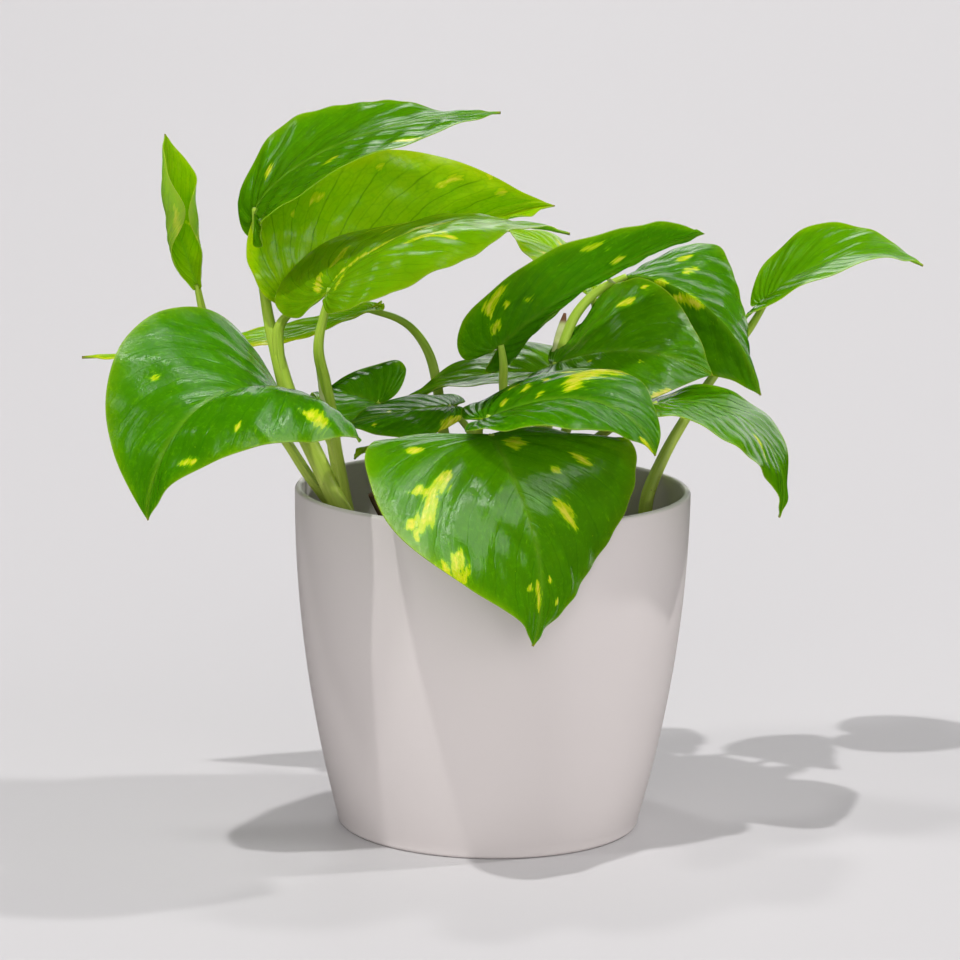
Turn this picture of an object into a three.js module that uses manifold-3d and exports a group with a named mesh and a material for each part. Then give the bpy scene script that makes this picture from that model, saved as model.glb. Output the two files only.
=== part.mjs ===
// A pothos in a plain white pot: the pot, its soil, and leafy stems that stand in holes in the soil.
// Millimetres, +Z up. The origin is the centre of the pot's foot and -Y is the front of the plant.
import * as THREE from "three";
import { mergeVertices } from "three/addons/utils/BufferGeometryUtils.js";
import Module from "manifold-3d";

const wasm = await Module();
wasm.setup();

// Pot: a tapered cup whose side curves gently out to the rim.
const POT_HEIGHT = 117;
const POT_RIM_RADIUS = 67.5;
const POT_FOOT_RADIUS = 51.5;
const POT_WALL = 2.5;
const POT_FLOOR = 4;
const POT_EDGE = 0.7;
const POT_LEVELS = [20, 42, 62, 80, 96];
const POT_SEGMENTS = 72;

// Soil: it fills the pot to SOIL_TOP and is a little higher in the middle.
const SOIL_TOP = 95;
const SOIL_DOME = 2;
const SOIL_DOME_START = 40;
const SOIL_SEGMENTS = 48;

// Clear gap between pieces that lie against each other, and what flat facets take from a round one.
const GAP = 0.3;
const FACET_SLACK = 0.2;

// Depth to which each stem's foot stands in the soil.
const ROOT_DEPTH = 13;
const HOLE_SEGMENTS = 14;

// Leaf blades
const BLADE_THICKNESS = 0.8;
const BLADE_ROWS = 13;
const BLADE_COLUMNS = 4;
const RIB_STEPS = 80;

// Stems and leaf stalks
const STEM_SIDES = 8;
const STEM_STEP = 7;
const STALK_END_RADIUS = 1;
const STALK_END_OVERLAP = 1.5;

const FOLIAGE = new THREE.MeshStandardMaterial({ color: 0x4f8a3c, roughness: 0.42, metalness: 0 });
const DRY = new THREE.MeshStandardMaterial({ color: 0x6b4a32, roughness: 0.85, metalness: 0 });
const POT_WHITE = new THREE.MeshStandardMaterial({ color: 0xe6ddd6, roughness: 0.55, metalness: 0 });
const EARTH = new THREE.MeshStandardMaterial({ color: 0x3a2a20, roughness: 0.95, metalness: 0 });

// Half of the heart-shaped outline, from the notch at the stalk round the lobe to the tip.
// Each row is: distance along the midrib and distance across it, as shares of the leaf's length
// and width, then the place on the midrib from which the side vein to that point starts.
const OUTLINE = [
  [0.0, 0.0, 0.0],
  [-0.05, 0.035, 0.0],
  [-0.105, 0.13, 0.0],
  [-0.085, 0.27, 0.0],
  [0.02, 0.4, 0.015],
  [0.17, 0.47, 0.06],
  [0.34, 0.485, 0.17],
  [0.52, 0.43, 0.32],
  [0.68, 0.32, 0.48],
  [0.81, 0.19, 0.64],
  [0.9, 0.09, 0.78],
  [0.96, 0.035, 0.89],
  [1.0, 0.0, 1.0],
];

// Leaves. Angles are in degrees.
// base: where the blade meets its stalk. heading: compass direction from +X towards +Y.
// pitch: slope at the base. droop: how far the slope has fallen at the tip, with ease as its power.
// turn: change of heading along the midrib. roll and twist: tilt across the midrib at the base, and
// its change to the tip. fold: how far each half is raised from flat, left then right of the midrib.
// curl: how far each half bends down again towards its edge; never 0, since it divides.
const LEAVES = {
  top: {
    base: [-82, 5, 209], length: 95, width: 66, heading: -6, pitch: 86, droop: 86, ease: 0.35,
    turn: 25, roll: 12, twist: -13, fold: [-1, -10], curl: [-30, -17],
  },
  second: {
    base: [-68, 6, 177], length: 105, width: 83, heading: 43, pitch: 21, droop: 11, ease: 1.8,
    turn: -32, roll: 26, twist: 26, fold: [65, 56], curl: [62, 19],
  },
  third: {
    base: [-55, -36, 188], length: 93, width: 89, heading: 42, pitch: 50, droop: 63, ease: 0.6,
    turn: -37, roll: -18, twist: 16, fold: [5, 11], curl: [-5, 54],
  },
  broad_left: {
    base: [-64, -33, 145], length: 93, width: 82, heading: 229, pitch: 48, droop: 137, ease: 1,
    turn: -5, roll: -4, twist: -12, fold: [29, 25], curl: [82, -8],
  },
  young_rolled: {
    base: [-103, 4, 188], length: 49, width: 47, heading: 147, pitch: 64, droop: -28, ease: 1.3,
    turn: 25, roll: -62, twist: 30, fold: [25, 25], curl: [-140, -140],
  },
  long_back: {
    base: [-43, 34, 173], length: 102, width: 33, heading: 190, pitch: -16, droop: -14, ease: 1.2,
    turn: -7, roll: -11, twist: 8, fold: [4, 7], curl: [2, 40],
  },
  inner_back: {
    base: [-39, 12, 143], length: 28, width: 45, heading: 154, pitch: 16, droop: 44, ease: 1.4,
    turn: 13, roll: -35, twist: 43, fold: [26, 15], curl: [38, 20],
  },
  sprout: {
    base: [-34, 34, 122], length: 20, width: 19, heading: 213, pitch: 36, droop: 86, ease: 1.3,
    turn: 9, roll: 4, twist: 4, fold: [0, -3], curl: [20, 22],
  },
  front: {
    base: [-1, -59, 145], length: 79, width: 100, heading: -79, pitch: 1, droop: 106, ease: 0.6,
    turn: 91, roll: 4, twist: 37, fold: [0, -2], curl: [17, -13],
  },
  marbled: {
    base: [-3, -52, 149], length: 65, width: 67, heading: 2, pitch: 23, droop: 94, ease: 1.8,
    turn: -22, roll: 2, twist: 20, fold: [16, 10], curl: [34, 15],
  },
  inner_left: {
    base: [-14, -14, 147], length: 39, width: 35, heading: 179, pitch: -5, droop: 17, ease: 1.3,
    turn: -1, roll: -15, twist: -6, fold: [8, -5], curl: [33, 8],
  },
  dark_long: {
    base: [1, -15, 167], length: 92, width: 45, heading: -8, pitch: 47, droop: 45, ease: 0.9,
    turn: 65, roll: 106, twist: 3, fold: [20, -39], curl: [7, 32],
  },
  broad_right: {
    base: [20, 10, 158], length: 59, width: 73, heading: -34, pitch: 23, droop: 55, ease: 1.3,
    turn: 40, roll: 29, twist: 30, fold: [-2, 10], curl: [1, -25],
  },
  back_right: {
    base: [44, 34, 185], length: 71, width: 84, heading: -35, pitch: 24, droop: 98, ease: 0.6,
    turn: 63, roll: 40, twist: 17, fold: [-32, -64], curl: [-4, 43],
  },
  back_centre: {
    base: [23, 20, 153], length: 58, width: 49, heading: 173, pitch: 5, droop: 37, ease: 1.2,
    turn: 12, roll: -24, twist: 23, fold: [5, 5], curl: [-19, 17],
  },
  high_back: {
    base: [33, 48, 180], length: 39, width: 39, heading: 153, pitch: 47, droop: 46, ease: 1.3,
    turn: -6, roll: 4, twist: -15, fold: [10, 7], curl: [22, 37],
  },
  drooping_right: {
    base: [53, -23, 150], length: 70, width: 66, heading: 1, pitch: 12, droop: 118, ease: 1.2,
    turn: 1, roll: 0, twist: 29, fold: [-8, 6], curl: [-4, 10],
  },
  far_right: {
    base: [96, 72, 172], length: 62, width: 58, heading: -17, pitch: 45, droop: 70, ease: 1.3,
    turn: 21, roll: 12, twist: -4, fold: [10, 17], curl: [-10, 22],
  },
};

// Stems, each one grown piece: a foot [x, y, radius] in the soil, then runs of points
// [x, y, z, radius]. The first run starts at the foot. Each later run starts inside an earlier one,
// and a run that names a leaf ends in the base of its blade.
const STEMS = {
  stem_left: {
    foot: [-45, -19, 3.4],
    runs: [
      {
        leaf: "top",
        points: [
          [-46, -20, 101, 3.3], [-49, -22, 109, 3.2], [-53, -22, 117, 3.1], [-59, -19, 129, 3],
          [-65, -14, 140, 2.9], [-70, -8, 151, 2.7], [-74, -1, 163, 2.3], [-77, 5, 173, 1.9],
          [-79, 9, 183, 1.7], [-81, 10, 194, 1.5],
        ],
      },
      {
        leaf: "second",
        points: [[-71, -7, 153, 1.8], [-73, -3, 163, 1.8], [-73, 1, 171, 1.6]],
      },
      {
        leaf: "third",
        points: [
          [-46, -20, 102, 2.4], [-49, -19, 112, 2.4], [-51, -21, 123, 2.3], [-53, -25, 135, 2.2],
          [-54, -29, 146, 2], [-56, -33, 158, 1.8], [-58, -37, 170, 1.6],
        ],
      },
      {
        leaf: "broad_left",
        points: [[-52, -23, 129, 1.7], [-55, -26, 138, 1.7], [-59, -30, 144, 1.5]],
      },
    ],
  },
  stem_outer_left: {
    foot: [-48, -6, 1.9],
    runs: [
      {
        leaf: "young_rolled",
        points: [
          [-49, -7, 102, 1.9], [-54, -9, 110, 1.8], [-63, -9, 122, 1.7], [-70, -6, 132, 1.6],
          [-81, -2, 146, 1.5], [-92, 2, 162, 1.4], [-99, 4, 174, 1.3],
        ],
      },
    ],
  },
  stem_back: {
    foot: [-12, 27, 2.4],
    runs: [
      {
        leaf: "long_back",
        points: [
          [-12, 28, 104, 2.3], [-15, 31, 118, 2.1], [-18, 36, 132, 1.9], [-20, 40, 145, 1.8],
          [-23, 42, 156, 1.7], [-28, 41, 164, 1.5], [-34, 37, 169, 1.3],
        ],
      },
      {
        leaf: "inner_back",
        points: [[-13, 29, 110, 1.6], [-22, 23, 124, 1.5], [-31, 15, 136, 1.3]],
      },
    ],
  },
  sprout: {
    foot: [-27, 24, 1.3],
    runs: [{ leaf: "sprout", points: [[-28, 25, 102, 1.2], [-30, 28, 112, 1.1], [-33, 33, 120, 0.9]] }],
  },
  stem_front: {
    foot: [2, -14, 2.8],
    runs: [
      {
        leaf: "front",
        points: [[2, -15, 103, 2.7], [2, -21, 113, 2.5], [2, -31, 126, 2.1], [2, -43, 137, 1.7]],
      },
      {
        leaf: "marbled",
        points: [[2, -24, 117, 1.7], [-3, -30, 132, 1.7], [-5, -42, 144, 1.5]],
      },
      {
        leaf: "inner_left",
        points: [[2, -18, 109, 1.6], [-4, -14, 126, 1.5], [-8, -12, 138, 1.3]],
      },
    ],
  },
  stem_middle: {
    foot: [6, 3, 2.5],
    runs: [
      {
        leaf: "dark_long",
        points: [
          [6, 2, 104, 2.4], [6, 0, 116, 2.2], [5, -3, 130, 2], [4, -7, 145, 1.7], [3, -11, 154, 1.5],
          [3, -14, 161, 1.4],
        ],
      },
    ],
  },
  stem_right: {
    foot: [18, 11, 3],
    runs: [
      {
        leaf: "broad_right",
        points: [[18, 11, 105, 2.9], [17, 10, 120, 2.6], [16, 9, 134, 2.2], [17, 9, 146, 1.8]],
      },
      {
        leaf: "back_right",
        points: [
          [17, 10, 128, 2], [20, 15, 146, 1.9], [23, 20, 161, 1.7], [28, 26, 173, 1.6],
          [36, 31, 181, 1.4],
        ],
      },
      {
        leaf: "back_centre",
        points: [[17, 10, 124, 1.6], [19, 15, 138, 1.5], [22, 19, 148, 1.3]],
      },
      {
        leaf: "high_back",
        points: [[17, 10, 118, 1.7], [27, 23, 138, 1.6], [34, 37, 158, 1.4], [35, 46, 172, 1.2]],
      },
      {
        leaf: "drooping_right",
        points: [[18, 10, 112, 1.8], [26, 0, 126, 1.7], [37, -12, 138, 1.5], [47, -20, 146, 1.3]],
      },
    ],
  },
  stem_outer_right: {
    foot: [53, 19, 2.4],
    runs: [
      {
        leaf: "far_right",
        points: [
          [53, 20, 103, 2.4], [54, 22, 111, 2.3], [60, 30, 124, 2], [67, 38, 135, 1.8], [76, 48, 147, 1.6],
          [84, 57, 156, 1.5], [91, 66, 164, 1.4],
        ],
      },
    ],
  },
  dry_stem: {
    foot: [-31, -24, 1.2],
    runs: [
      { points: [[-32, -24, 101, 1.2], [-35, -25, 108, 1.1], [-39, -26, 115, 1], [-41, -27, 119, 0.7]] },
    ],
  },
};

const rad = THREE.MathUtils.degToRad;

/** Makes a closed geometry's shared vertices one, and returns it as a solid. */
function toSolid(geometry) {
  const bare = new THREE.BufferGeometry();
  bare.setAttribute("position", geometry.getAttribute("position"));
  bare.setIndex(geometry.getIndex());
  const merged = mergeVertices(bare, 1e-4);
  const corners = merged.getIndex().array;
  const triVerts = [];
  for (let i = 0; i < corners.length; i += 3) {
    const [a, b, c] = [corners[i], corners[i + 1], corners[i + 2]];
    if (a !== b && b !== c && c !== a) triVerts.push(a, b, c);
  }
  const vertProperties = new Float32Array(merged.getAttribute("position").array);
  return new wasm.Manifold(
    new wasm.Mesh({ numProp: 3, vertProperties, triVerts: new Uint32Array(triVerts) }),
  );
}

/** Turns a solid back into a geometry. */
function toGeometry(solid) {
  const mesh = solid.getMesh();
  const geometry = new THREE.BufferGeometry();
  geometry.setAttribute("position", new THREE.Float32BufferAttribute(mesh.vertProperties, 3));
  geometry.setIndex(Array.from(mesh.triVerts));
  geometry.computeVertexNormals();
  return geometry;
}

/** Revolves a profile of [radius, height] points, which starts and ends on the axis. */
function revolve(profile, segments) {
  const points = profile.map(([r, z]) => new THREE.Vector2(r, z));
  return toSolid(new THREE.LatheGeometry(points, segments).rotateX(Math.PI / 2));
}

/** Outer radius of the pot at a height. */
function potRadius(z) {
  const down = (POT_HEIGHT - z) / POT_HEIGHT;
  return POT_RIM_RADIUS - (POT_RIM_RADIUS - POT_FOOT_RADIUS) * down * down;
}

function pot() {
  const profile = [[0, 0], [POT_FOOT_RADIUS - 2 * POT_EDGE, 0]];
  for (const z of [2 * POT_EDGE, ...POT_LEVELS, POT_HEIGHT - POT_EDGE]) profile.push([potRadius(z), z]);
  profile.push([POT_RIM_RADIUS - POT_EDGE, POT_HEIGHT]);
  profile.push([POT_RIM_RADIUS - POT_WALL + POT_EDGE, POT_HEIGHT]);
  for (const z of [POT_HEIGHT - POT_EDGE, ...POT_LEVELS.toReversed(), POT_FLOOR]) {
    profile.push([potRadius(z) - POT_WALL, z]);
  }
  profile.push([0, POT_FLOOR]);
  return revolve(profile, POT_SEGMENTS);
}

function soil() {
  const bottom = POT_FLOOR + GAP;
  const profile = [[0, bottom]];
  for (const z of [bottom, ...POT_LEVELS.filter((level) => level < SOIL_TOP), SOIL_TOP]) {
    profile.push([potRadius(z) - POT_WALL - GAP - FACET_SLACK, z]);
  }
  profile.push([SOIL_DOME_START, SOIL_TOP + SOIL_DOME / 2], [0, SOIL_TOP + SOIL_DOME]);
  let ground = revolve(profile, SOIL_SEGMENTS);
  for (const { foot: [x, y, radius] } of Object.values(STEMS)) {
    const wide = radius + GAP + FACET_SLACK;
    const deep = 2 * (ROOT_DEPTH + GAP);
    const hole = new THREE.CylinderGeometry(wide, wide, deep, HOLE_SEGMENTS);
    hole.rotateX(Math.PI / 2).translate(x, y, SOIL_TOP);
    ground = ground.subtract(toSolid(hole));
  }
  return ground;
}

/** Point at t (0 to 1) on the uniform Catmull-Rom curve through rows of numbers. */
function spline(rows, t) {
  const last = rows.length - 1;
  const i = Math.min(Math.floor(t * last), last - 1);
  const f = t * last - i;
  const [p0, p1, p2, p3] = [rows[Math.max(i - 1, 0)], rows[i], rows[i + 1], rows[Math.min(i + 2, last)]];
  return p1.map((_, k) => 0.5 * (
    2 * p1[k] + (p2[k] - p0[k]) * f
    + (2 * p0[k] - 5 * p1[k] + 4 * p2[k] - p3[k]) * f ** 2
    + (3 * p1[k] - p0[k] - 3 * p2[k] + p3[k]) * f ** 3
  ));
}

/** Direction of a leaf's midrib at s, 0 at the base and 1 at the tip. */
function direction(leaf, s) {
  const slope = rad(leaf.pitch - leaf.droop * s ** leaf.ease);
  const compass = rad(leaf.heading + leaf.turn * s);
  return new THREE.Vector3(
    Math.cos(slope) * Math.cos(compass), Math.cos(slope) * Math.sin(compass), Math.sin(slope),
  );
}

/** Points along a leaf's midrib: its direction added up in small steps from the base. */
function midribPoints(leaf) {
  const points = [new THREE.Vector3(...leaf.base)];
  for (let i = 0; i < RIB_STEPS; i += 1) {
    const step = direction(leaf, i / RIB_STEPS).add(direction(leaf, (i + 1) / RIB_STEPS));
    points.push(points[i].clone().addScaledVector(step, (0.5 * leaf.length) / RIB_STEPS));
  }
  return points;
}

/** Midrib point with the across and upward directions of the blade there. */
function midribFrame(leaf, points, s) {
  const inside = Math.min(Math.max(s, 0), 1);
  const place = inside * RIB_STEPS;
  const i = Math.min(Math.floor(place), RIB_STEPS - 1);
  const ahead = direction(leaf, inside);
  const origin = points[i].clone().lerp(points[i + 1], place - i);
  origin.addScaledVector(ahead, Math.min(s, 0) * leaf.length);
  const compass = rad(leaf.heading + leaf.turn * inside);
  const left = new THREE.Vector3(-Math.sin(compass), Math.cos(compass), 0);
  const up = new THREE.Vector3().crossVectors(ahead, left);
  const tilt = rad(leaf.roll + leaf.twist * inside);
  const across = left.clone().multiplyScalar(Math.cos(tilt)).addScaledVector(up, Math.sin(tilt));
  const above = up.multiplyScalar(Math.cos(tilt)).addScaledVector(left, -Math.sin(tilt));
  return { origin, across, above };
}

/** Point of the blade's middle surface: t runs round the outline, v from midrib (0) to edge (1). */
function bladePoint(leaf, points, side, t, v) {
  const [along, reach, vein] = spline(OUTLINE, t);
  const { origin, across, above } = midribFrame(leaf, points, (1 - v) * vein + v * along);
  const fold = rad(leaf.fold[side]);
  const bend = -rad(leaf.curl[side]) / (0.485 * leaf.width);
  const out = reach * v * leaf.width;
  const sideways = (Math.sin(fold + bend * out) - Math.sin(fold)) / bend;
  const rise = (Math.cos(fold) - Math.cos(fold + bend * out)) / bend;
  return origin.addScaledVector(across, side === 0 ? sideways : -sideways).addScaledVector(above, rise);
}

/** A leaf blade: a grid on each side of the midrib, thickened equally up and down. */
function blade(leaf) {
  const ribs = midribPoints(leaf);
  const points = [];
  const index = new Map();
  const place = (point) => {
    const key = point.toArray().map((n) => Math.round(n * 1000)).join();
    if (!index.has(key)) index.set(key, points.push(point) - 1);
    return index.get(key);
  };
  const faces = [];
  const addFace = (a, b, c) => {
    if (a !== b && b !== c && c !== a) faces.push([a, b, c]);
  };
  for (const side of [0, 1]) {
    const grid = [];
    for (let i = 0; i < BLADE_ROWS; i += 1) {
      grid.push([]);
      for (let j = 0; j < BLADE_COLUMNS; j += 1) {
        const v = j / (BLADE_COLUMNS - 1);
        grid[i].push(place(bladePoint(leaf, ribs, side, i / (BLADE_ROWS - 1), v)));
      }
    }
    for (let i = 0; i + 1 < BLADE_ROWS; i += 1) {
      for (let j = 0; j + 1 < BLADE_COLUMNS; j += 1) {
        const corners = [grid[i][j], grid[i + 1][j], grid[i + 1][j + 1], grid[i][j + 1]];
        const [a, b, c, d] = side === 0 ? corners : [corners[3], corners[2], corners[1], corners[0]];
        addFace(a, b, c);
        addFace(a, c, d);
      }
    }
  }
  return thicken(points, faces, BLADE_THICKNESS);
}

/** Closes a sheet into a solid: both faces have the same triangles, and a strip joins their rims. */
function thicken(points, faces, thickness) {
  const normals = points.map(() => new THREE.Vector3());
  const rim = new Map();
  for (const [a, b, c] of faces) {
    const normal = points[b].clone().sub(points[a]).cross(points[c].clone().sub(points[a]));
    for (const corner of [a, b, c]) normals[corner].add(normal);
    for (const [from, to] of [[a, b], [b, c], [c, a]]) {
      if (!rim.delete(`${to},${from}`)) rim.set(`${from},${to}`, [from, to]);
    }
  }
  const layers = [1, -1].map((sign) => points.map((point, i) => (
    point.clone().addScaledVector(normals[i].clone().normalize(), (sign * thickness) / 2)
  )));
  const n = points.length;
  const index = [];
  for (const [a, b, c] of faces) index.push(a, b, c, a + n, c + n, b + n);
  for (const [from, to] of rim.values()) index.push(from, from + n, to + n, from, to + n, to);
  const geometry = new THREE.BufferGeometry();
  geometry.setAttribute("position", new THREE.Float32BufferAttribute(
    layers.flat().flatMap((point) => point.toArray()), 3,
  ));
  geometry.setIndex(index);
  return toSolid(geometry);
}

/** A tapered round stalk through points [x, y, z, radius]. */
function stalk(points) {
  const curve = new THREE.CatmullRomCurve3(points.map(([x, y, z]) => new THREE.Vector3(x, y, z)));
  const rings = Math.max(3, Math.round(curve.getLength() / STEM_STEP));
  const spans = points.length - 1;
  const frames = curve.computeFrenetFrames(rings, false);
  const position = [];
  const index = [];
  for (let i = 0; i <= rings; i += 1) {
    const u = curve.getUtoTmapping(i / rings);
    const k = Math.min(Math.floor(u * spans), spans - 1);
    const radius = THREE.MathUtils.lerp(points[k][3], points[k + 1][3], u * spans - k);
    const centre = curve.getPoint(u);
    for (let j = 0; j < STEM_SIDES; j += 1) {
      const angle = (2 * Math.PI * j) / STEM_SIDES;
      const ringPoint = centre.clone()
        .addScaledVector(frames.normals[i], radius * Math.cos(angle))
        .addScaledVector(frames.binormals[i], radius * Math.sin(angle));
      position.push(...ringPoint.toArray());
      if (i === rings) continue;
      const a = i * STEM_SIDES + j;
      const b = i * STEM_SIDES + ((j + 1) % STEM_SIDES);
      index.push(a, b, b + STEM_SIDES, a, b + STEM_SIDES, a + STEM_SIDES);
    }
  }
  const top = rings * STEM_SIDES;
  for (let j = 1; j + 1 < STEM_SIDES; j += 1) index.push(0, j + 1, j, top, top + j, top + j + 1);
  const geometry = new THREE.BufferGeometry();
  geometry.setAttribute("position", new THREE.Float32BufferAttribute(position, 3));
  geometry.setIndex(index);
  return toSolid(geometry);
}

/** One grown piece: its stem and stalks with the blades that they carry. */
function leafyStem({ foot: [x, y, radius], runs }) {
  const root = [ROOT_DEPTH, ROOT_DEPTH / 2, 0].map((depth) => [x, y, SOIL_TOP - depth, radius]);
  let grown = null;
  runs.forEach(({ leaf: name, points }, number) => {
    const path = number === 0 ? [...root, ...points] : [...points];
    let run = null;
    if (name) {
      const leaf = LEAVES[name];
      const end = new THREE.Vector3(...leaf.base).addScaledVector(direction(leaf, 0), STALK_END_OVERLAP);
      path.push([...end.toArray(), STALK_END_RADIUS]);
      run = stalk(path).add(blade(leaf));
    } else {
      run = stalk(path);
    }
    grown = grown ? grown.add(run) : run;
  });
  return grown;
}

const plant = new THREE.Group();
plant.name = "potted_pothos";

function addNode(name, solid, material) {
  const mesh = new THREE.Mesh(toGeometry(solid), material);
  mesh.name = name;
  plant.add(mesh);
}

addNode("pot", pot(), POT_WHITE);
addNode("soil", soil(), EARTH);
for (const [name, stem] of Object.entries(STEMS)) {
  addNode(name, leafyStem(stem), name === "dry_stem" ? DRY : FOLIAGE);
}

export default plant;
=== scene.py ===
# %% [markdown]
# # A pothos in a white pot
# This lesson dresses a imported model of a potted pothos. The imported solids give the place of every
# piece. Here each leafy stem is built again from the same numbers, but finely: blades with veins,
# puckers and waved edges, stalks with a channel, and soil with crumbs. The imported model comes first,
# because every new piece is hung on it.

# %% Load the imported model
import math

import bpy
import numpy as np
from mathutils import Matrix, Vector


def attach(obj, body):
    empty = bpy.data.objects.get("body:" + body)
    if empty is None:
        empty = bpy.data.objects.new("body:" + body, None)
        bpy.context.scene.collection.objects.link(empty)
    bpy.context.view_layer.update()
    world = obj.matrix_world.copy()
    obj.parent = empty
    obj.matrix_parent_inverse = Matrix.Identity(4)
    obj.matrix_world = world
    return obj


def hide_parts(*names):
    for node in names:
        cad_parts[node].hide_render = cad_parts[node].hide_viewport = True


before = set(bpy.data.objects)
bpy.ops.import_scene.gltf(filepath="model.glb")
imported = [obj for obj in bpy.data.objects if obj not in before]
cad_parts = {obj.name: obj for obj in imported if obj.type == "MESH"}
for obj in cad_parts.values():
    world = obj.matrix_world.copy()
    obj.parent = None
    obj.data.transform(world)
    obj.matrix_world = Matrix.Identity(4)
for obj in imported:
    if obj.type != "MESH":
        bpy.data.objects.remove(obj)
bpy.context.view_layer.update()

MM = 0.001
print("packed nodes:", sorted(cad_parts))

# %% [markdown]
# ## The camera
# The picture is a square, taken from a little over a metre away, looking down by about ten degrees.
# A long lens keeps the pot's sides nearly parallel. The camera's three axes are worked out from its
# pan, tilt and roll, and put into one matrix, which is easier to check than a chain of rotations.

# %% Camera
CAMERA_PLACE = (0.0, -1.300, 0.3602)
CAMERA_PAN, CAMERA_TILT, CAMERA_ROLL = np.radians([-0.194, 10.503, 0.835])
CAMERA_LENS = 145.3
SENSOR_WIDTH = 36.0


def camera_matrix(place, pan, tilt, roll):
    """Forward is (sin pan cos tilt, cos pan cos tilt, -sin tilt). Right is level, and up is their
    cross product. Roll then turns right and up about forward."""
    forward = Vector((math.sin(pan) * math.cos(tilt), math.cos(pan) * math.cos(tilt), -math.sin(tilt)))
    level = Vector((math.cos(pan), -math.sin(pan), 0.0))
    up = level.cross(forward)
    right = math.cos(roll) * level + math.sin(roll) * up
    up = math.cos(roll) * up - math.sin(roll) * level
    turned = Matrix((right, up, -forward)).transposed().to_4x4()
    return Matrix.Translation(place) @ turned


lens = bpy.data.cameras.new("camera")
lens.lens = CAMERA_LENS
lens.sensor_width = SENSOR_WIDTH
camera = bpy.data.objects.new("camera", lens)
bpy.context.scene.collection.objects.link(camera)
camera.matrix_world = camera_matrix(CAMERA_PLACE, CAMERA_PAN, CAMERA_TILT, CAMERA_ROLL)
bpy.context.scene.camera = camera
print("camera looks along", tuple(round(x, 3) for x in -camera.matrix_world.col[2].xyz))

# %% [markdown]
# ## From arrays to a mesh
# Every new piece is a surface worked out with numpy on a grid. Neighbouring grid points sometimes
# fall together, as at a leaf's tip or a tube's end. So the grid is cut into triangles, points that
# fall together are welded, and triangles that have collapsed are dropped.

# %% Mesh helpers
WELD = 1e-4


def grid_triangles(rows, columns, wrap=False):
    """Two triangles for each cell of a grid whose point (i, j) has number i * columns + j.
    With wrap, the last column joins the first."""
    i = np.arange(rows - 1)[:, None]
    j = np.arange(columns if wrap else columns - 1)[None, :]
    a = i * columns + j
    b = i * columns + (j + 1) % columns
    cells = np.stack([a, a + columns, b + columns, b], -1).reshape(-1, 4)
    return np.concatenate([cells[:, [0, 1, 2]], cells[:, [0, 2, 3]]])


def make_piece(name, points, triangles, material, nodes=(), maps=None, values=None):
    """Welds points (in millimetres), makes the mesh in metres, and hangs the piece on the model.
    maps holds UV maps and values holds plain numbers, both with one row for each point."""
    _, first, number = np.unique(
        np.round(points / WELD).astype(np.int64), axis=0, return_index=True, return_inverse=True,
    )
    triangles = number.reshape(-1)[triangles]
    a, b, c = triangles.T
    triangles = triangles[(a != b) & (b != c) & (c != a)]
    mesh = bpy.data.meshes.new(name)
    mesh.from_pydata(points[first] * MM, [], triangles)
    mesh.shade_smooth()
    for map_name, uv in (maps or {}).items():
        layer = mesh.uv_layers.new(name=map_name)
        layer.data.foreach_set("uv", uv[first][triangles.reshape(-1)].astype(np.float32).ravel())
    for value_name, value in (values or {}).items():
        attribute = mesh.attributes.new(value_name, "FLOAT", "POINT")
        attribute.data.foreach_set("value", value[first].astype(np.float32))
    mesh.materials.append(material)
    mesh.validate()
    made = bpy.data.objects.new(name, mesh)
    bpy.context.scene.collection.objects.link(made)
    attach(made, "root")
    if nodes:
        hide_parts(*nodes)
    return made


def smooth_step(x, low, high):
    """0 below low, 1 above high, and 3 t^2 - 2 t^3 between them."""
    t = np.clip((x - low) / (high - low), 0, 1)
    return t * t * (3 - 2 * t)


def bell(x, width):
    """A bump of height 1 round 0: exp(-(x / width)^2)."""
    return np.exp(-(x / width) ** 2)


print("a grid of 3 by 4 points gives", len(grid_triangles(3, 4)), "triangles")

# %% [markdown]
# ## Small helpers for materials
# A material is a chain of nodes. These helpers keep each material down to the few lines that say
# what is special about it.

# %% Material helpers
def new_material(name):
    """A material with its node tree and its one shader."""
    made = bpy.data.materials.new(name)
    made.use_nodes = True
    return made, made.node_tree, made.node_tree.nodes["Principled BSDF"]


def feed(tree, node, inputs):
    """Gives each named socket of a node a plain value or another node's socket."""
    for key, value in inputs.items():
        if isinstance(value, bpy.types.NodeSocket):
            tree.links.new(value, node.inputs[key])
        else:
            node.inputs[key].default_value = value


def add_node(tree, kind, inputs=None, **settings):
    """Adds a shader node with its settings, and feeds its sockets."""
    made = tree.nodes.new("ShaderNode" + kind)
    for key, value in settings.items():
        setattr(made, key, value)
    feed(tree, made, inputs or {})
    return made


def object_place(tree):
    """The socket that gives a point's place in the object, in metres."""
    return add_node(tree, "TexCoord").outputs["Object"]


def uv_place(tree, name):
    """The socket that gives a point's place in a UV map."""
    return add_node(tree, "UVMap", uv_map=name).outputs["UV"]


def read_value(tree, name):
    """The socket that gives a mesh's stored number."""
    return add_node(tree, "Attribute", attribute_name=name).outputs["Fac"]


def axis_of(tree, vector, axis):
    """One of a vector's three numbers, named X, Y or Z."""
    return add_node(tree, "SeparateXYZ", {0: vector}).outputs[axis]


def math_of(tree, operation, a, b=0.0, c=0.0):
    """Numbers or sockets put through one operation. MULTIPLY_ADD gives a b + c."""
    return add_node(tree, "Math", {0: a, 1: b, 2: c}, operation=operation).outputs[0]


def rest_of(tree, share):
    """What a share leaves of one: 1 - share."""
    return math_of(tree, "SUBTRACT", 1.0, share)


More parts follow.
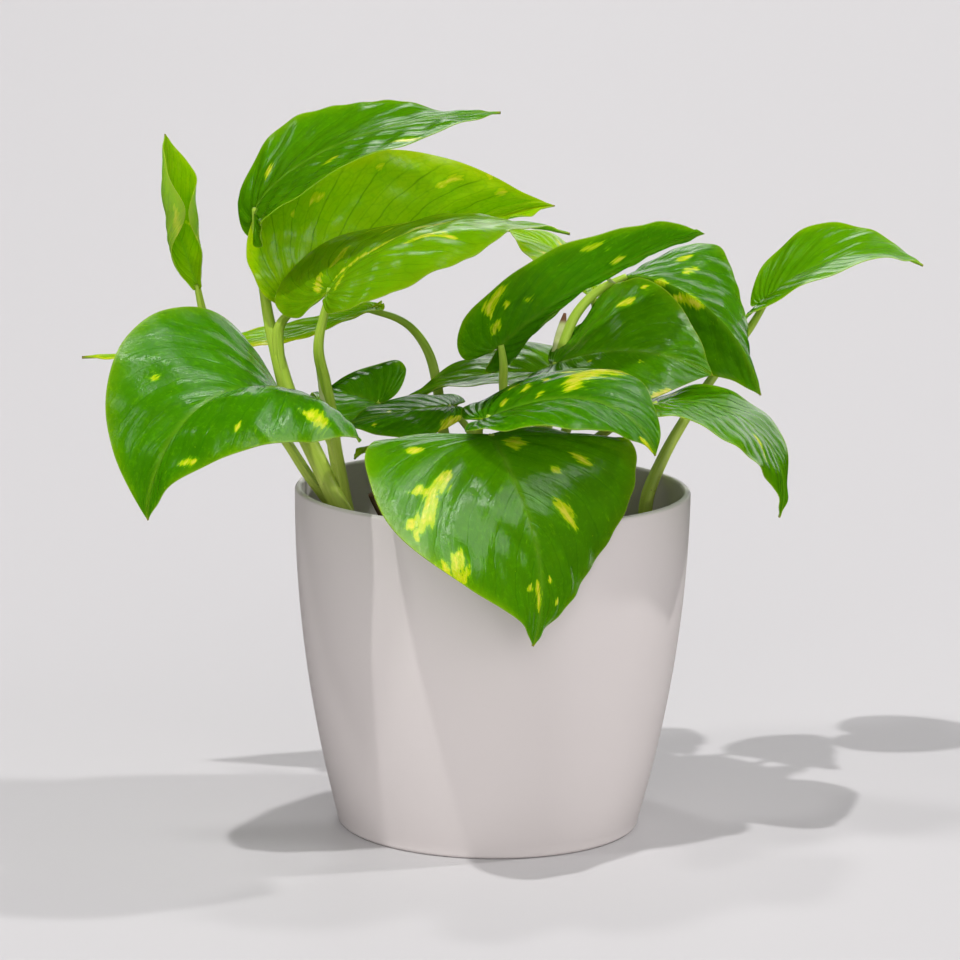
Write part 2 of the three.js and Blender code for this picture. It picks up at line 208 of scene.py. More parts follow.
def step_of(tree, value, low, high):
    """0 below low and 1 above high, with a smooth change between."""
    inputs = {"Value": value, "From Min": low, "From Max": high}
    return add_node(tree, "MapRange", inputs, interpolation_type="SMOOTHSTEP").outputs[0]


def mix_of(tree, share, a, b):
    """Colour a turned into colour b by a share. A colour is three numbers or a socket."""
    a, b = (x if isinstance(x, bpy.types.NodeSocket) else (*x, 1.0) for x in (a, b))
    return add_node(tree, "Mix", {0: share, 6: a, 7: b}, data_type="RGBA").outputs[2]


def tint_of(tree, colour, tint, share, strength):
    """A colour turned towards a tint by share times strength."""
    return mix_of(tree, math_of(tree, "MULTIPLY", share, strength), colour, tint)


def noise_of(tree, vector, scale, detail=3.0, roughness=0.5):
    """Cloudy noise, from 0 to 1, with its middle at 0.5."""
    inputs = {"Vector": vector, "Scale": scale, "Detail": detail, "Roughness": roughness}
    return add_node(tree, "TexNoise", inputs).outputs["Fac"]


def bump_of(tree, height, strength, distance, before=None):
    """Direction of a surface that height raises by up to a distance in metres. before is the
    direction that an earlier relief has given."""
    inputs = {"Height": height, "Strength": strength, "Distance": distance}
    if before is not None:
        inputs["Normal"] = before
    return add_node(tree, "Bump", inputs).outputs["Normal"]


# %% [markdown]
# ## The pot
# The pot is a moulded cup with a thin wall, a softly rounded rim and a small rounded foot. Its
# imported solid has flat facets, which would show in the long, soft highlights. A lathe profile with
# true arcs, turned in many small steps, gives the smooth wall that a mould leaves.

# %% Pot material
SATIN_WHITE = (0.80, 0.742, 0.725)
SATIN_SHADE = (0.76, 0.702, 0.682)

pot_finish, tree, shader = new_material("pot_satin_white")
place = object_place(tree)
cloud = noise_of(tree, place, 14.0)
grain = noise_of(tree, place, 2600.0, 2.0)
scuff = step_of(tree, noise_of(tree, place, 90.0, 4.0), 0.62, 0.8)
feed(tree, shader, {
    "Base Color": mix_of(tree, cloud, SATIN_WHITE, SATIN_SHADE),
    "Roughness": math_of(tree, "MULTIPLY_ADD", scuff, 0.12, 0.42),
    "Normal": bump_of(tree, grain, 0.12, 0.0001),
})
print(pot_finish.name, "has", len(tree.nodes), "nodes")

# %% Pot shape
POT_HEIGHT = 117.0
POT_RIM_RADIUS = 67.5
POT_FOOT_RADIUS = 51.5
POT_WALL = 2.5
POT_FLOOR = 4.0
RIM_ROUND = 1.1
FOOT_ROUND = 1.4
POT_STEPS = 40
TURN_STEPS = 240


def pot_radius(z):
    """Outer radius at a height: rim radius less 16 mm times the square of the way down."""
    down = (POT_HEIGHT - z) / POT_HEIGHT
    return POT_RIM_RADIUS - (POT_RIM_RADIUS - POT_FOOT_RADIUS) * down**2


def arc(centre, radius, start, end, steps=7):
    """Points [r, z] on an arc from one angle to another, in degrees from the outward direction."""
    angle = np.radians(np.linspace(start, end, steps))
    return np.stack([centre[0] + radius * np.cos(angle), centre[1] + radius * np.sin(angle)], -1)


def revolve(profile, turns):
    """Turns a profile of [r, z] points about the Z axis: (r cos a, r sin a, z)."""
    angle = 2 * np.pi * np.arange(turns) / turns
    radius, z = profile[:, :1], profile[:, 1:]
    x, y = radius * np.cos(angle), radius * np.sin(angle)
    return np.stack([x, y, np.broadcast_to(z, x.shape)], -1)


outer_z = np.linspace(FOOT_ROUND, POT_HEIGHT - RIM_ROUND, POT_STEPS)
inner_z = np.linspace(POT_HEIGHT - RIM_ROUND, POT_FLOOR + FOOT_ROUND, POT_STEPS)
foot_edge = pot_radius(FOOT_ROUND) - FOOT_ROUND
inner_foot = pot_radius(POT_FLOOR) - POT_WALL - FOOT_ROUND
pot_profile = np.concatenate([
    [[0.0, 0.0]],
    arc((foot_edge, FOOT_ROUND), FOOT_ROUND, -90, -5),
    np.stack([pot_radius(outer_z), outer_z], -1),
    arc((POT_RIM_RADIUS - RIM_ROUND, POT_HEIGHT - RIM_ROUND), RIM_ROUND, 10, 90),
    arc((POT_RIM_RADIUS - POT_WALL + RIM_ROUND, POT_HEIGHT - RIM_ROUND), RIM_ROUND, 90, 170),
    np.stack([pot_radius(inner_z) - POT_WALL, inner_z], -1),
    arc((inner_foot, POT_FLOOR + FOOT_ROUND), FOOT_ROUND, -5, -90),
    [[0.0, POT_FLOOR]],
])
pot_points = revolve(pot_profile, TURN_STEPS)
pot_triangles = grid_triangles(len(pot_profile), TURN_STEPS, wrap=True)[:, ::-1]
pot = make_piece("pot_body", pot_points.reshape(-1, 3), pot_triangles, pot_finish, ["pot"])
print("pot:", len(pot.data.polygons), "faces")

# %% [markdown]
# ## The soil
# Potting soil is a dark, crumbly bed. Its surface is a disc of rings and spokes whose height is
# cloudy noise in three sizes. Loose crumbs and bark chips lie on it. Each is a small lumpy ball, and
# all of them are one mesh.

# %% Soil material
EARTH = (0.012, 0.007, 0.004), (0.075, 0.045, 0.026)
BARK = (0.045, 0.022, 0.011), (0.16, 0.09, 0.045)

soil_finish, tree, shader = new_material("potting_soil")
clumps = noise_of(tree, object_place(tree), 420.0, 6.0, 0.65)
earth = mix_of(tree, clumps, *EARTH)
bark = mix_of(tree, clumps, *BARK)
feed(tree, shader, {
    "Base Color": mix_of(tree, read_value(tree, "tone"), earth, bark),
    "Roughness": 0.92,
    "Specular IOR Level": 0.25,
    "Normal": bump_of(tree, clumps, 0.6, 0.0006),
})
print(soil_finish.name, "has", len(tree.nodes), "nodes")

# %% Soil surface
SOIL_TOP = 95.0
SOIL_DOME = 2.0
SOIL_GAP = 0.3
SOIL_RINGS = 90
SOIL_SPOKES = 220
SOIL_SHOULDER = 6.0
SOIL_SIDE_STEPS = 12
SOIL_BUMPS = ((15.0, 1.3), (6.0, 0.9), (2.4, 0.7))
NET = 64


def cloud_height(x, y, size, seed):
    """Noise between -1 and 1: random heights on a square net of that size, joined smoothly."""
    heights = np.random.default_rng(seed).uniform(-1, 1, (NET, NET))
    u, v = x / size + NET // 2, y / size + NET // 2
    i, j = np.floor(u).astype(int) % (NET - 1), np.floor(v).astype(int) % (NET - 1)
    f, g = smooth_step(u % 1, 0, 1), smooth_step(v % 1, 0, 1)
    near = heights[i, j] * (1 - f) + heights[i + 1, j] * f
    far = heights[i, j + 1] * (1 - f) + heights[i + 1, j + 1] * f
    return near * (1 - g) + far * g


def soil_height(x, y):
    """Top of the soil: a low dome and three sizes of noise."""
    dome = SOIL_DOME * (1 - (x**2 + y**2) / pot_radius(SOIL_TOP) ** 2)
    bumps = sum(high * cloud_height(x, y, size, n) for n, (size, high) in enumerate(SOIL_BUMPS))
    return SOIL_TOP + dome + bumps


soil_radius = pot_radius(SOIL_TOP) - POT_WALL - SOIL_GAP
ring_radius = soil_radius * np.linspace(0, 1, SOIL_RINGS)[:, None]
spoke = 2 * np.pi * np.arange(SOIL_SPOKES)[None, :] / SOIL_SPOKES
x, y = ring_radius * np.cos(spoke), ring_radius * np.sin(spoke)
surface = np.stack([x, y, soil_height(x, y)], -1)
side_z = np.linspace(SOIL_TOP - SOIL_SHOULDER, POT_FLOOR + SOIL_GAP, SOIL_SIDE_STEPS)
side = revolve(np.stack([pot_radius(side_z) - POT_WALL - SOIL_GAP, side_z], -1), SOIL_SPOKES)
underside = np.broadcast_to([0, 0, POT_FLOOR + SOIL_GAP], (1, SOIL_SPOKES, 3))
soil_points = np.concatenate([surface, side, underside])
soil_triangles = grid_triangles(len(soil_points), SOIL_SPOKES, wrap=True)
soil_tone = {"tone": np.zeros(len(soil_points) * SOIL_SPOKES)}
soil_piece = make_piece(
    "soil_bed", soil_points.reshape(-1, 3), soil_triangles, soil_finish, ["soil"],
    values=soil_tone,
)
print("soil:", len(soil_piece.data.polygons), "faces")

# %% Crumbs and bark on the soil
CRUMBS = 420
CRUMB_RINGS, CRUMB_SPOKES = 5, 7
CRUMB_SIZE = (0.7, 2.4)
CRUMB_STRETCH = (0.7, 1.2)
BARK_STRETCH = [2.2, 1.1, 0.45]
BARK_SHARE = 0.16
LUMPS = 0.22
LEAN = 0.5
STANDS_OUT = 0.35
CRUMB_TONE, BARK_TONE = 0.15, 1.0
EDGE_FREE = 2


def crumbs(count, seed):
    """Lumpy balls: r = size (1 + noise) in each direction, stretched and turned at random, with a
    third of their height in the soil. Bark chips are longer and flatter. Gives points, triangles
    and a tone for each point."""
    draw = np.random.default_rng(seed)
    reach = (soil_radius - EDGE_FREE) * np.sqrt(draw.uniform(0, 1, count))
    compass = draw.uniform(0, 2 * np.pi, count)
    x, y = reach * np.cos(compass), reach * np.sin(compass)
    bark = draw.uniform(0, 1, count) < BARK_SHARE
    size = draw.uniform(*CRUMB_SIZE, count)
    stretch = np.where(bark[:, None], BARK_STRETCH, draw.uniform(*CRUMB_STRETCH, (count, 3)))
    down = np.linspace(0, np.pi, CRUMB_RINGS)[:, None]
    about = 2 * np.pi * np.arange(CRUMB_SPOKES)[None, :] / CRUMB_SPOKES
    ball = np.stack([
        np.sin(down) * np.cos(about), np.sin(down) * np.sin(about),
        np.broadcast_to(np.cos(down), (CRUMB_RINGS, CRUMB_SPOKES)),
    ], -1).reshape(-1, 3)
    lumps = 1 + draw.uniform(-LUMPS, LUMPS, (count, CRUMB_RINGS, CRUMB_SPOKES, 1))
    lumps[:, [0, -1]] = 1
    shape = ball[None] * lumps.reshape(count, -1, 1) * (stretch * size[:, None])[:, None]
    turn, lean = draw.uniform(0, 2 * np.pi, count), draw.uniform(-LEAN, LEAN, count)
    c, s, cl, sl = np.cos(turn), np.sin(turn), np.cos(lean), np.sin(lean)
    zero = np.zeros(count)
    turned = np.stack([
        np.stack([c * cl, -s, c * sl], -1), np.stack([s * cl, c, s * sl], -1),
        np.stack([-sl, zero, cl], -1),
    ], 1)
    centre = np.stack([x, y, soil_height(x, y) + size * stretch[:, 2] * STANDS_OUT], -1)
    points = np.einsum("nij,nkj->nki", turned, shape) + centre[:, None]
    one = grid_triangles(CRUMB_RINGS, CRUMB_SPOKES, wrap=True)
    each = CRUMB_RINGS * CRUMB_SPOKES
    triangles = (one[None] + each * np.arange(count)[:, None, None]).reshape(-1, 3)
    return points.reshape(-1, 3), triangles, np.repeat(np.where(bark, BARK_TONE, CRUMB_TONE), each)


crumb_points, crumb_triangles, crumb_tone = crumbs(CRUMBS, seed=5)
crumb_piece = make_piece(
    "soil_crumbs", crumb_points, crumb_triangles, soil_finish, ["soil"],
    values={"tone": crumb_tone},
)
print("crumbs:", len(crumb_piece.data.polygons), "faces")

# %% [markdown]
# ## The shape of a leaf
# All the blades share one heart-shaped outline. What makes each leaf its own is how its midrib runs
# and how its two halves fold and curl. The midrib is a line whose direction changes smoothly from
# base to tip. At each place on it, the blade goes out to both sides along a curved line. The numbers
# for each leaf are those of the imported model, in millimetres and degrees. Only two leaves differ:
# the rolled one and the long one seen on edge show no lobes, so lobes makes their base slimmer.

# %% Outline and leaf numbers
OUTLINE = np.array([
    [0.0, 0.0, 0.0], [-0.05, 0.035, 0.0], [-0.105, 0.13, 0.0], [-0.085, 0.27, 0.0],
    [0.02, 0.4, 0.015], [0.17, 0.47, 0.06], [0.34, 0.485, 0.17], [0.52, 0.43, 0.32],
    [0.68, 0.32, 0.48], [0.81, 0.19, 0.64], [0.9, 0.09, 0.78], [0.96, 0.035, 0.89], [1.0, 0.0, 1.0],
])
WIDEST = 0.485


class Leaf:
    """The numbers of one leaf. Its base and size are in millimetres, and its angles in degrees.
    A pair of fold or curl is for the left half and the right half. Each mark is a half width and
    the points of a line, in shares of length and width, with the left half positive. lobes is the
    share of the outline's lobes that the leaf keeps."""

    def __init__(
        self, base, size, heading, pitch, droop, ease, turn, tilt, fold, curl, age, marks=(), lobes=1.0,
    ):
        self.base = np.array(base, float)
        self.length, self.width = size
        self.heading, self.pitch, self.droop, self.ease, self.turn = heading, pitch, droop, ease, turn
        self.roll, self.twist = tilt
        self.fold, self.curl, self.age, self.marks, self.lobes = fold, curl, age, marks, lobes


LEAVES = {
    "top": Leaf(
        (-82, 5, 209), (95, 66), -6, 86, 86, 0.35, 25, (12, -13), (-1, -10), (-30, -17), 0.85, (
            (1.2, (0.1, 0.18), (0.14, 0.26)), (1.4, (0.57, -0.28), (0.66, -0.31)),
            (1.5, (0.32, -0.19), (0.38, -0.2)),
        )),
    "second": Leaf(
        (-68, 6, 177), (105, 83), 43, 21, 11, 1.8, -32, (26, 26), (65, 56), (62, 19), 0.0, (
            (1.2, (0.46, 0.38), (0.48, 0.36)), (1.5, (0.66, 0.23), (0.71, 0.21)),
            (1.2, (0.62, 0.21), (0.66, 0.21)), (1.3, (0.8, 0.12), (0.84, 0.12)),
            (1, (0.79, 0.2), (0.81, 0.19)), (1, (0.14, 0.35), (0.15, 0.34)),
            (1, (0.22, 0.36), (0.28, 0.37)),
        )),
    "third": Leaf(
        (-55, -36, 188), (93, 89), 42, 50, 63, 0.6, -37, (-18, 16), (5, 11), (-5, 54), 0.5, (
            (1.6, (0.28, 0.29), (0.21, 0.21), (0.14, 0.16)), (1.5, (0.1, 0.19), (0.0, 0.07)),
            (0.9, (0.13, 0.0), (-0.01, -0.09)), (1.5, (0.06, 0.03), (0.4, 0.03), (0.8, 0.01)),
            (1.1, (0.39, 0.39), (0.48, 0.4), (0.6, 0.39)),
            (1.1, (0.34, 0.06), (0.49, 0.14), (0.69, 0.14)),
            (1.7, (0.27, -0.22), (0.4, -0.26), (0.43, -0.33)), (0.9, (0.39, 0.26), (0.45, 0.32)),
        )),
    "broad_left": Leaf(
        (-64, -33, 145), (93, 82), 229, 48, 137, 1, -5, (-4, -12), (29, 25), (82, -8), 0.95, (
            (2.6, (0.31, 0.35), (0.26, 0.4), (0.23, 0.42)), (0.8, (0.57, -0.24), (0.54, -0.2)),
            (1, (0.79, 0.13), (0.76, 0.19)), (0.9, (0.6, 0.27), (0.57, 0.26)),
        )),
    "young_rolled": Leaf(
        (-101, 4, 183), (54, 44), 147, 64, -28, 1.3, 25, (-62, 30), (25, 25), (-140, -140), 0.1, (
            (1.3, (0.54, 0.33), (0.41, 0.37), (0.28, 0.4)), (1.3, (0.42, -0.1), (0.25, -0.41)),
        ), 0.05),
    # Painted light: the two wide edge marks make this shaded leaf's edges pale lime, as if lit.
    "long_back": Leaf(
        (-43, 34, 173), (102, 33), 190, -16, -14, 1.2, -7, (-11, 8), (4, 7), (2, 40), 0.1, (
            (3.2, (-0.02, 0.2), (0.3, 0.46), (0.6, 0.38), (0.95, 0.08)),
            (3.2, (-0.02, -0.2), (0.3, -0.46), (0.6, -0.38), (0.95, -0.08)),
        ), 0.4),
    "inner_back": Leaf(
        (-39, 12, 143), (28, 45), 154, 16, 44, 1.4, 13, (-35, 43), (26, 15), (38, 20), 0.9),
    "sprout": Leaf((-34, 34, 122), (20, 19), 213, 36, 86, 1.3, 9, (4, 4), (0, -3), (20, 22), 0.05),
    "front": Leaf(
        (-1, -59, 145), (79, 100), -79, 1, 106, 0.6, 91, (4, 37), (0, -2), (17, -13), 0.88, (
            (2.6, (0.24, -0.32), (0.26, -0.32)),
            (1.8, (0.19, -0.19), (0.31, -0.31), (0.42, -0.42)),
            (1.5, (0.35, -0.41), (0.38, -0.43)),
            (2.7, (0.52, -0.31), (0.58, -0.34), (0.63, -0.34)),
            (1.4, (0.52, -0.39), (0.58, -0.39)), (2.6, (0.08, 0.04), (0.11, 0.09)),
            (1.4, (0.21, 0.23), (0.3, 0.29)), (1.3, (0.28, 0.14), (0.31, 0.17)),
            (1.2, (0.08, -0.3), (0.07, -0.25)), (1.5, (0.41, 0.11), (0.56, 0.18)),
            (1, (0.72, -0.02), (0.85, -0.01)), (0.9, (0.73, -0.05), (0.76, -0.05)),
            (0.8, (0.72, 0.04), (0.74, 0.04)), (0.9, (0.81, 0.08), (0.83, 0.07)),
        )),
    "marbled": Leaf(
        (-3, -52, 149), (65, 67), 2, 23, 94, 1.8, -22, (2, 20), (16, 10), (34, 15), 0.95, (
            (2.2, (0.42, 0.07), (0.46, 0.16)), (3.4, (0.44, 0.16), (0.5, 0.26), (0.62, 0.35)),
            (1.2, (0.36, 0.39), (0.42, 0.33)), (0.8, (0.21, 0.14), (0.25, 0.23)),
            (0.8, (0.15, 0.22), (0.2, 0.3)), (0.8, (0.1, 0.05), (0.13, 0.14)),
            (0.7, (0.28, 0.04), (0.31, 0.1)), (0.7, (0.3, 0.28), (0.33, 0.22)),
            (0.9, (0.88, -0.07), (0.99, -0.02)),
        )),
    "inner_left": Leaf(
        (-14, -14, 147), (39, 35), 179, -5, 17, 1.3, -1, (-15, -6), (8, -5), (33, 8), 0.95, (
            (1.6, (-0.06, 0.26), (0.1, 0.44)), (0.9, (0.67, 0.19), (0.7, 0.19)),
            (0.8, (0.54, -0.05), (0.56, -0.05)),
        )),
    "dark_long": Leaf(
        (1, -15, 167), (92, 45), -8, 47, 45, 0.9, 65, (106, 3), (20, -39), (7, 32), 0.9, (
            (1.1, (0.17, 0.43), (0.12, 0.39), (0.08, 0.35), (0.07, 0.27)),
            (1.1, (0.08, 0.2), (0.03, 0.13)), (1.1, (0.19, 0.18), (0.2, 0.19)),
            (0.7, (0.21, 0.19), (0.22, 0.21)), (0.8, (0.14, 0.3), (0.13, 0.25)),
            (1.1, (0.41, 0.38), (0.48, 0.36)), (1.2, (0.51, 0.1), (0.56, 0.08)),
            (0.8, (0.49, 0.27), (0.5, 0.27)),
        )),
    "broad_right": Leaf(
        (20, 10, 158), (59, 73), -34, 23, 55, 1.3, 40, (29, 30), (-2, 10), (1, -25), 0.88, (
            (1.3, (0.36, 0.29), (0.46, 0.32)), (0.9, (0.49, 0.38), (0.52, 0.39)),
            (1.2, (0.69, -0.3), (0.78, -0.21)), (0.8, (0.27, -0.07), (0.28, -0.08)),
            (0.8, (0.56, -0.07), (0.58, -0.07)),
        )),
    "back_right": Leaf(
        (44, 34, 185), (71, 84), -35, 24, 98, 0.6, 63, (40, 17), (-32, -64), (-4, 43), 0.92, (
            (1.8, (0.31, -0.04), (0.45, -0.01)), (1.3, (0.27, 0.13), (0.3, 0.25)),
            (1.2, (0.17, 0.23), (0.22, 0.32)), (1.5, (0.19, -0.01), (0.24, 0.0)),
        )),
    "back_centre": Leaf(
        (23, 20, 153), (58, 49), 173, 5, 37, 1.2, 12, (-24, 23), (5, 5), (-19, 17), 0.7),
    "high_back": Leaf(
        (33, 48, 180), (39, 39), 153, 47, 46, 1.3, -6, (4, -15), (10, 7), (22, 37), 0.05, (
            (1.6, (0.2, 0.1), (0.5, 0.25)), (1.2, (0.3, -0.1), (0.6, -0.2)),
        )),
    "drooping_right": Leaf(
        (53, -23, 150), (70, 66), 1, 12, 118, 1.2, 1, (0, 29), (-8, 6), (-4, 10), 0.85, (
            (1.2, (0.06, 0.24), (0.13, 0.34)), (0.9, (0.51, -0.12), (0.65, -0.21)),
        )),
    "far_right": Leaf(
        (96, 72, 172), (62, 58), -17, 45, 70, 1.3, 21, (12, -4), (10, 17), (-10, 22), 0.75),
}
print(len(LEAVES), "leaves,", sum(len(leaf.marks) for leaf in LEAVES.values()), "yellow marks")

# %% Midrib and blade surface
RIB_STEPS = 80


def catmull_rom(rows, t):
    """Smooth curve through rows of numbers, for t from 0 to 1. Between rows 1 and 2 it is
    (2 p1 + (p2 - p0) f + (2 p0 - 5 p1 + 4 p2 - p3) f^2 + (3 p1 - p0 - 3 p2 + p3) f^3) / 2."""
    last = len(rows) - 1
    i = np.minimum((t * last).astype(int), last - 1)
    f = (t * last - i)[..., None]
    p0, p1 = rows[np.maximum(i - 1, 0)], rows[i]
    p2, p3 = rows[i + 1], rows[np.minimum(i + 2, last)]
    square, cube = 2 * p0 - 5 * p1 + 4 * p2 - p3, 3 * p1 - p0 - 3 * p2 + p3
    return 0.5 * (2 * p1 + (p2 - p0) * f + square * f**2 + cube * f**3)


def midrib_direction(leaf, s):
    """Unit vector along the midrib. Its slope is pitch - droop s^ease, and its compass direction
    is heading + turn s."""
    slope = np.radians(leaf.pitch - leaf.droop * s**leaf.ease)
    compass = np.radians(leaf.heading + leaf.turn * s)
    level = np.cos(slope)
    return np.stack([level * np.cos(compass), level * np.sin(compass), np.sin(slope)], -1)


def midrib_frame(leaf, s):
    """Midrib point with the across and upward directions there. The point is the base plus the
    directions added up; across is the level leftward direction turned by roll + twist s."""
    steps = np.linspace(0, 1, RIB_STEPS + 1)
    ahead = midrib_direction(leaf, steps)
    run = np.cumsum((ahead[1:] + ahead[:-1]) / 2, 0) * leaf.length / RIB_STEPS
    rib = leaf.base + np.concatenate([np.zeros((1, 3)), run])
    inside = np.clip(s, 0, 1)
    ahead = midrib_direction(leaf, inside)
    origin = np.stack([np.interp(inside, steps, rib[:, k]) for k in range(3)], -1)
    origin = origin + ahead * np.minimum(s, 0)[..., None] * leaf.length
    compass = np.radians(leaf.heading + leaf.turn * inside)
    left = np.stack([-np.sin(compass), np.cos(compass), np.zeros_like(compass)], -1)
    up = np.cross(ahead, left)
    tilt = np.radians(leaf.roll + leaf.twist * inside)[..., None]
    across = left * np.cos(tilt) + up * np.sin(tilt)
    above = up * np.cos(tilt) - left * np.sin(tilt)
    return origin, across, above


def blade_surface(leaf, s, out):
    """Blade point and the direction square to the blade there. out is the signed distance across
    in millimetres, left positive. The line across starts at the fold angle and bends evenly:
    sideways = (sin(fold + bend d) - sin fold) / bend, rise = (cos fold - cos(fold + bend d)) / bend."""
    origin, across, above = midrib_frame(leaf, s)
    hand = np.where(out >= 0, 1.0, -1.0)
    distance = np.abs(out)
    fold = np.radians(np.where(out >= 0, leaf.fold[0], leaf.fold[1]))
    curl = np.where(out >= 0, leaf.curl[0], leaf.curl[1])
    bend = -np.radians(curl) / (WIDEST * leaf.width)
    slope = fold + bend * distance
    sideways = hand * (np.sin(slope) - np.sin(fold)) / bend
    rise = (np.cos(fold) - np.cos(slope)) / bend
    point = origin + across * sideways[..., None] + above * rise[..., None]
    lean = (slope * smooth_step(distance, 0.0, 3.0))[..., None]
    square = above * np.cos(lean) - across * np.sin(lean) * hand[..., None]
    return point, square


top_tip = midrib_frame(LEAVES["top"], np.array([1.0]))[0][0]
print("the top leaf's tip is at", top_tip.round(1), "mm")

# %% [markdown]
# ## Veins, puckers and edges
# A pothos blade is a thin waxy sheet. The midrib is a groove above and a round keel below. Side
# veins leave it in pairs and curve towards the tip, and between them the blade puffs up a little.
# The edge is thinner and waves slightly. All of this is added to the plain surface as a small
# height, worked out for the whole grid at once. A light falls unevenly on such relief, and that is
# what makes the leaf look alive.

# %% Grid of a blade
BLADE_ROWS = 121
BLADE_COLUMNS = 33
FIRST_ROW = 1 / 12


def blade_grid(leaf):
    """Rows t go round the outline from base to tip. Columns u go from the right edge, -1, over the
    midrib, 0, to the left edge, 1. The share v of the way from midrib to edge is
    sin^2(90 degrees |u|), so that columns lie close at both. s is the place along the midrib, and
    out the signed distance across."""
    t = np.linspace(FIRST_ROW, 1, BLADE_ROWS)[:, None]
    u = np.linspace(-1, 1, 2 * BLADE_COLUMNS - 1)[None, :]
    v = np.sin(np.pi / 2 * np.abs(u)) ** 2
    along, reach, vein_foot = np.moveaxis(catmull_rom(OUTLINE, t), -1, 0)
    reach = reach * (leaf.lobes + (1 - leaf.lobes) * smooth_step(along, -0.1, 0.55))
    along = np.where(along < 0, along * leaf.lobes, along)
    s = vein_foot + (along - vein_foot) * v**1.2
    out = np.sign(u) * reach * v * leaf.width
    return t, u, v, s, out


print("a blade's grid has", BLADE_ROWS, "rows and", 2 * BLADE_COLUMNS - 1, "columns")

# %% Side veins, puckers and waves
VEIN_PAIRS, VEIN_SWEEP, RIGHT_AHEAD = 13, 2.2, 0.18
VEIN_WIDTH = 0.10
SMALL_VEIN, SMALL_VEIN_WIDTH = 0.45, 0.08
QUILT, VEIN_DEPTH, POCKMARK = 0.24, 0.12, 0.15
RIPPLES, RIPPLE_RATE = 5, 0.09
WAVE, WAVES = 0.8, 5.0
USUAL_LENGTH = 90


def vein_phase(t, u, v):
    """Grows by 1 from one side vein to the next: pairs t - sweep v. Each vein is where the phase is
    a whole number and a half. So a vein reaches a later row at the edge than at the midrib."""
    from_base = (t - FIRST_ROW) / (1 - FIRST_ROW)
    return from_base * VEIN_PAIRS + np.where(u < 0, RIGHT_AHEAD, 0.0) - VEIN_SWEEP * v


def vein_strength(phase, v):
    """1 on a side vein and 0.45 on the small vein between two, each a bell across. band is 1 in the
    middle of each half and 0 at the midrib and the edge, where puffs and small veins end."""
    from_vein = np.abs(phase % 1 - 0.5)
    band = smooth_step(v, 0.02, 0.3) * (1 - smooth_step(v, 0.82, 1.0))
    vein = bell(from_vein, VEIN_WIDTH) * (1 - smooth_step(v, 0.75, 0.98))
    vein = vein + SMALL_VEIN * bell(0.5 - from_vein, SMALL_VEIN_WIDTH) * band
    return vein, band


def blade_height(leaf, draw, grid, phase, band):
    """The sum of puffs between the veins, (1 + cos(360 degrees phase)) / 2, a few slow ripples in
    random directions, and a wave that grows with v^3 towards the edge."""
    t, u, v, s, out = grid
    size = leaf.length / USUAL_LENGTH
    puff = QUILT * size * (0.5 + 0.5 * np.cos(2 * np.pi * phase)) * band
    along_rates = draw.uniform(-RIPPLE_RATE, RIPPLE_RATE, RIPPLES)
    across_rates = draw.uniform(-RIPPLE_RATE, RIPPLE_RATE, RIPPLES)
    starts = draw.uniform(0, 6, RIPPLES)
    ripple = sum(
        POCKMARK * np.sin(2 * np.pi * (s * leaf.length * a + out * b) + c)
        for a, b, c in zip(along_rates, across_rates, starts)
    )
    swing = np.where(u < 0, draw.uniform(0, 6), draw.uniform(0, 6))
    wave = WAVE * size * v**3 * np.sin(2 * np.pi * WAVES * t + swing) * smooth_step(1 - t, 0.0, 0.2)
    return puff + ripple * smooth_step(np.abs(out), 0.5, 6.0) + wave


print(VEIN_PAIRS, "pairs of side veins on each blade")

# %% [markdown]
# ## Yellow marks
# The marks of a pothos are mostly streaks along the veins. Each is kept as a short line in shares of
# the leaf's length and width. A point's distance to that line gives a soft field, which the material
# cuts off later. So a mark stays in its place on the blade, however the blade bends. The two wide marks
# along the edges of the long leaf seen on edge are painted light: they make its edges look lit.

# %% Yellow marks
MARK_REACH = 2.8
MARK_TAPER = 0.6


def mark_field(leaf, s, out):
    """1 - distance / (2.8 half width (1 - 0.6 m^2)), where m is 0 in the middle of a mark's line and
    1 at its ends, so that a mark is pointed. The largest of all marks holds, and it is at least 0."""
    here = np.stack([s * leaf.length, out], -1)
    field = np.zeros(s.shape)
    for half_width, *line in leaf.marks:
        path = np.array(line) * [leaf.length, leaf.width]
        for part, (start, end) in enumerate(zip(path[:-1], path[1:])):
            run = end - start
            share = np.clip(((here - start) @ run) / (run @ run), 0, 1)
            distance = np.linalg.norm(here - start - share[..., None] * run, axis=-1)
            from_middle = np.abs(2 * (part + share) / (len(path) - 1) - 1)
            reach = MARK_REACH * half_width * (1 - MARK_TAPER * from_middle**2)
            field = np.maximum(field, 1 - distance / reach)
    return field


_, _, _, s, out = blade_grid(LEAVES["front"])
marked = (mark_field(LEAVES["front"], s, out) > 0.5).mean()
print("the front leaf is marked on", round(100 * marked, 1), "percent of its points")

# %% [markdown]
# ## A whole blade
# A blade could be one thin surface, but a real one has a thickness, a groove above its midrib and a
# keel below. So the surface is moved up for the top and down for the underside, and a narrow strip
# joins the two round the rim. The stored maps and numbers tell the material where each point lies.

# %% Blade
THICK_MIDDLE, THICK_EDGE = 0.55, 0.28
GROOVE, GROOVE_WIDTH = 0.35, 0.7
KEEL, KEEL_WIDTH = 0.85, 0.9
VEINS_BELOW = 1.5


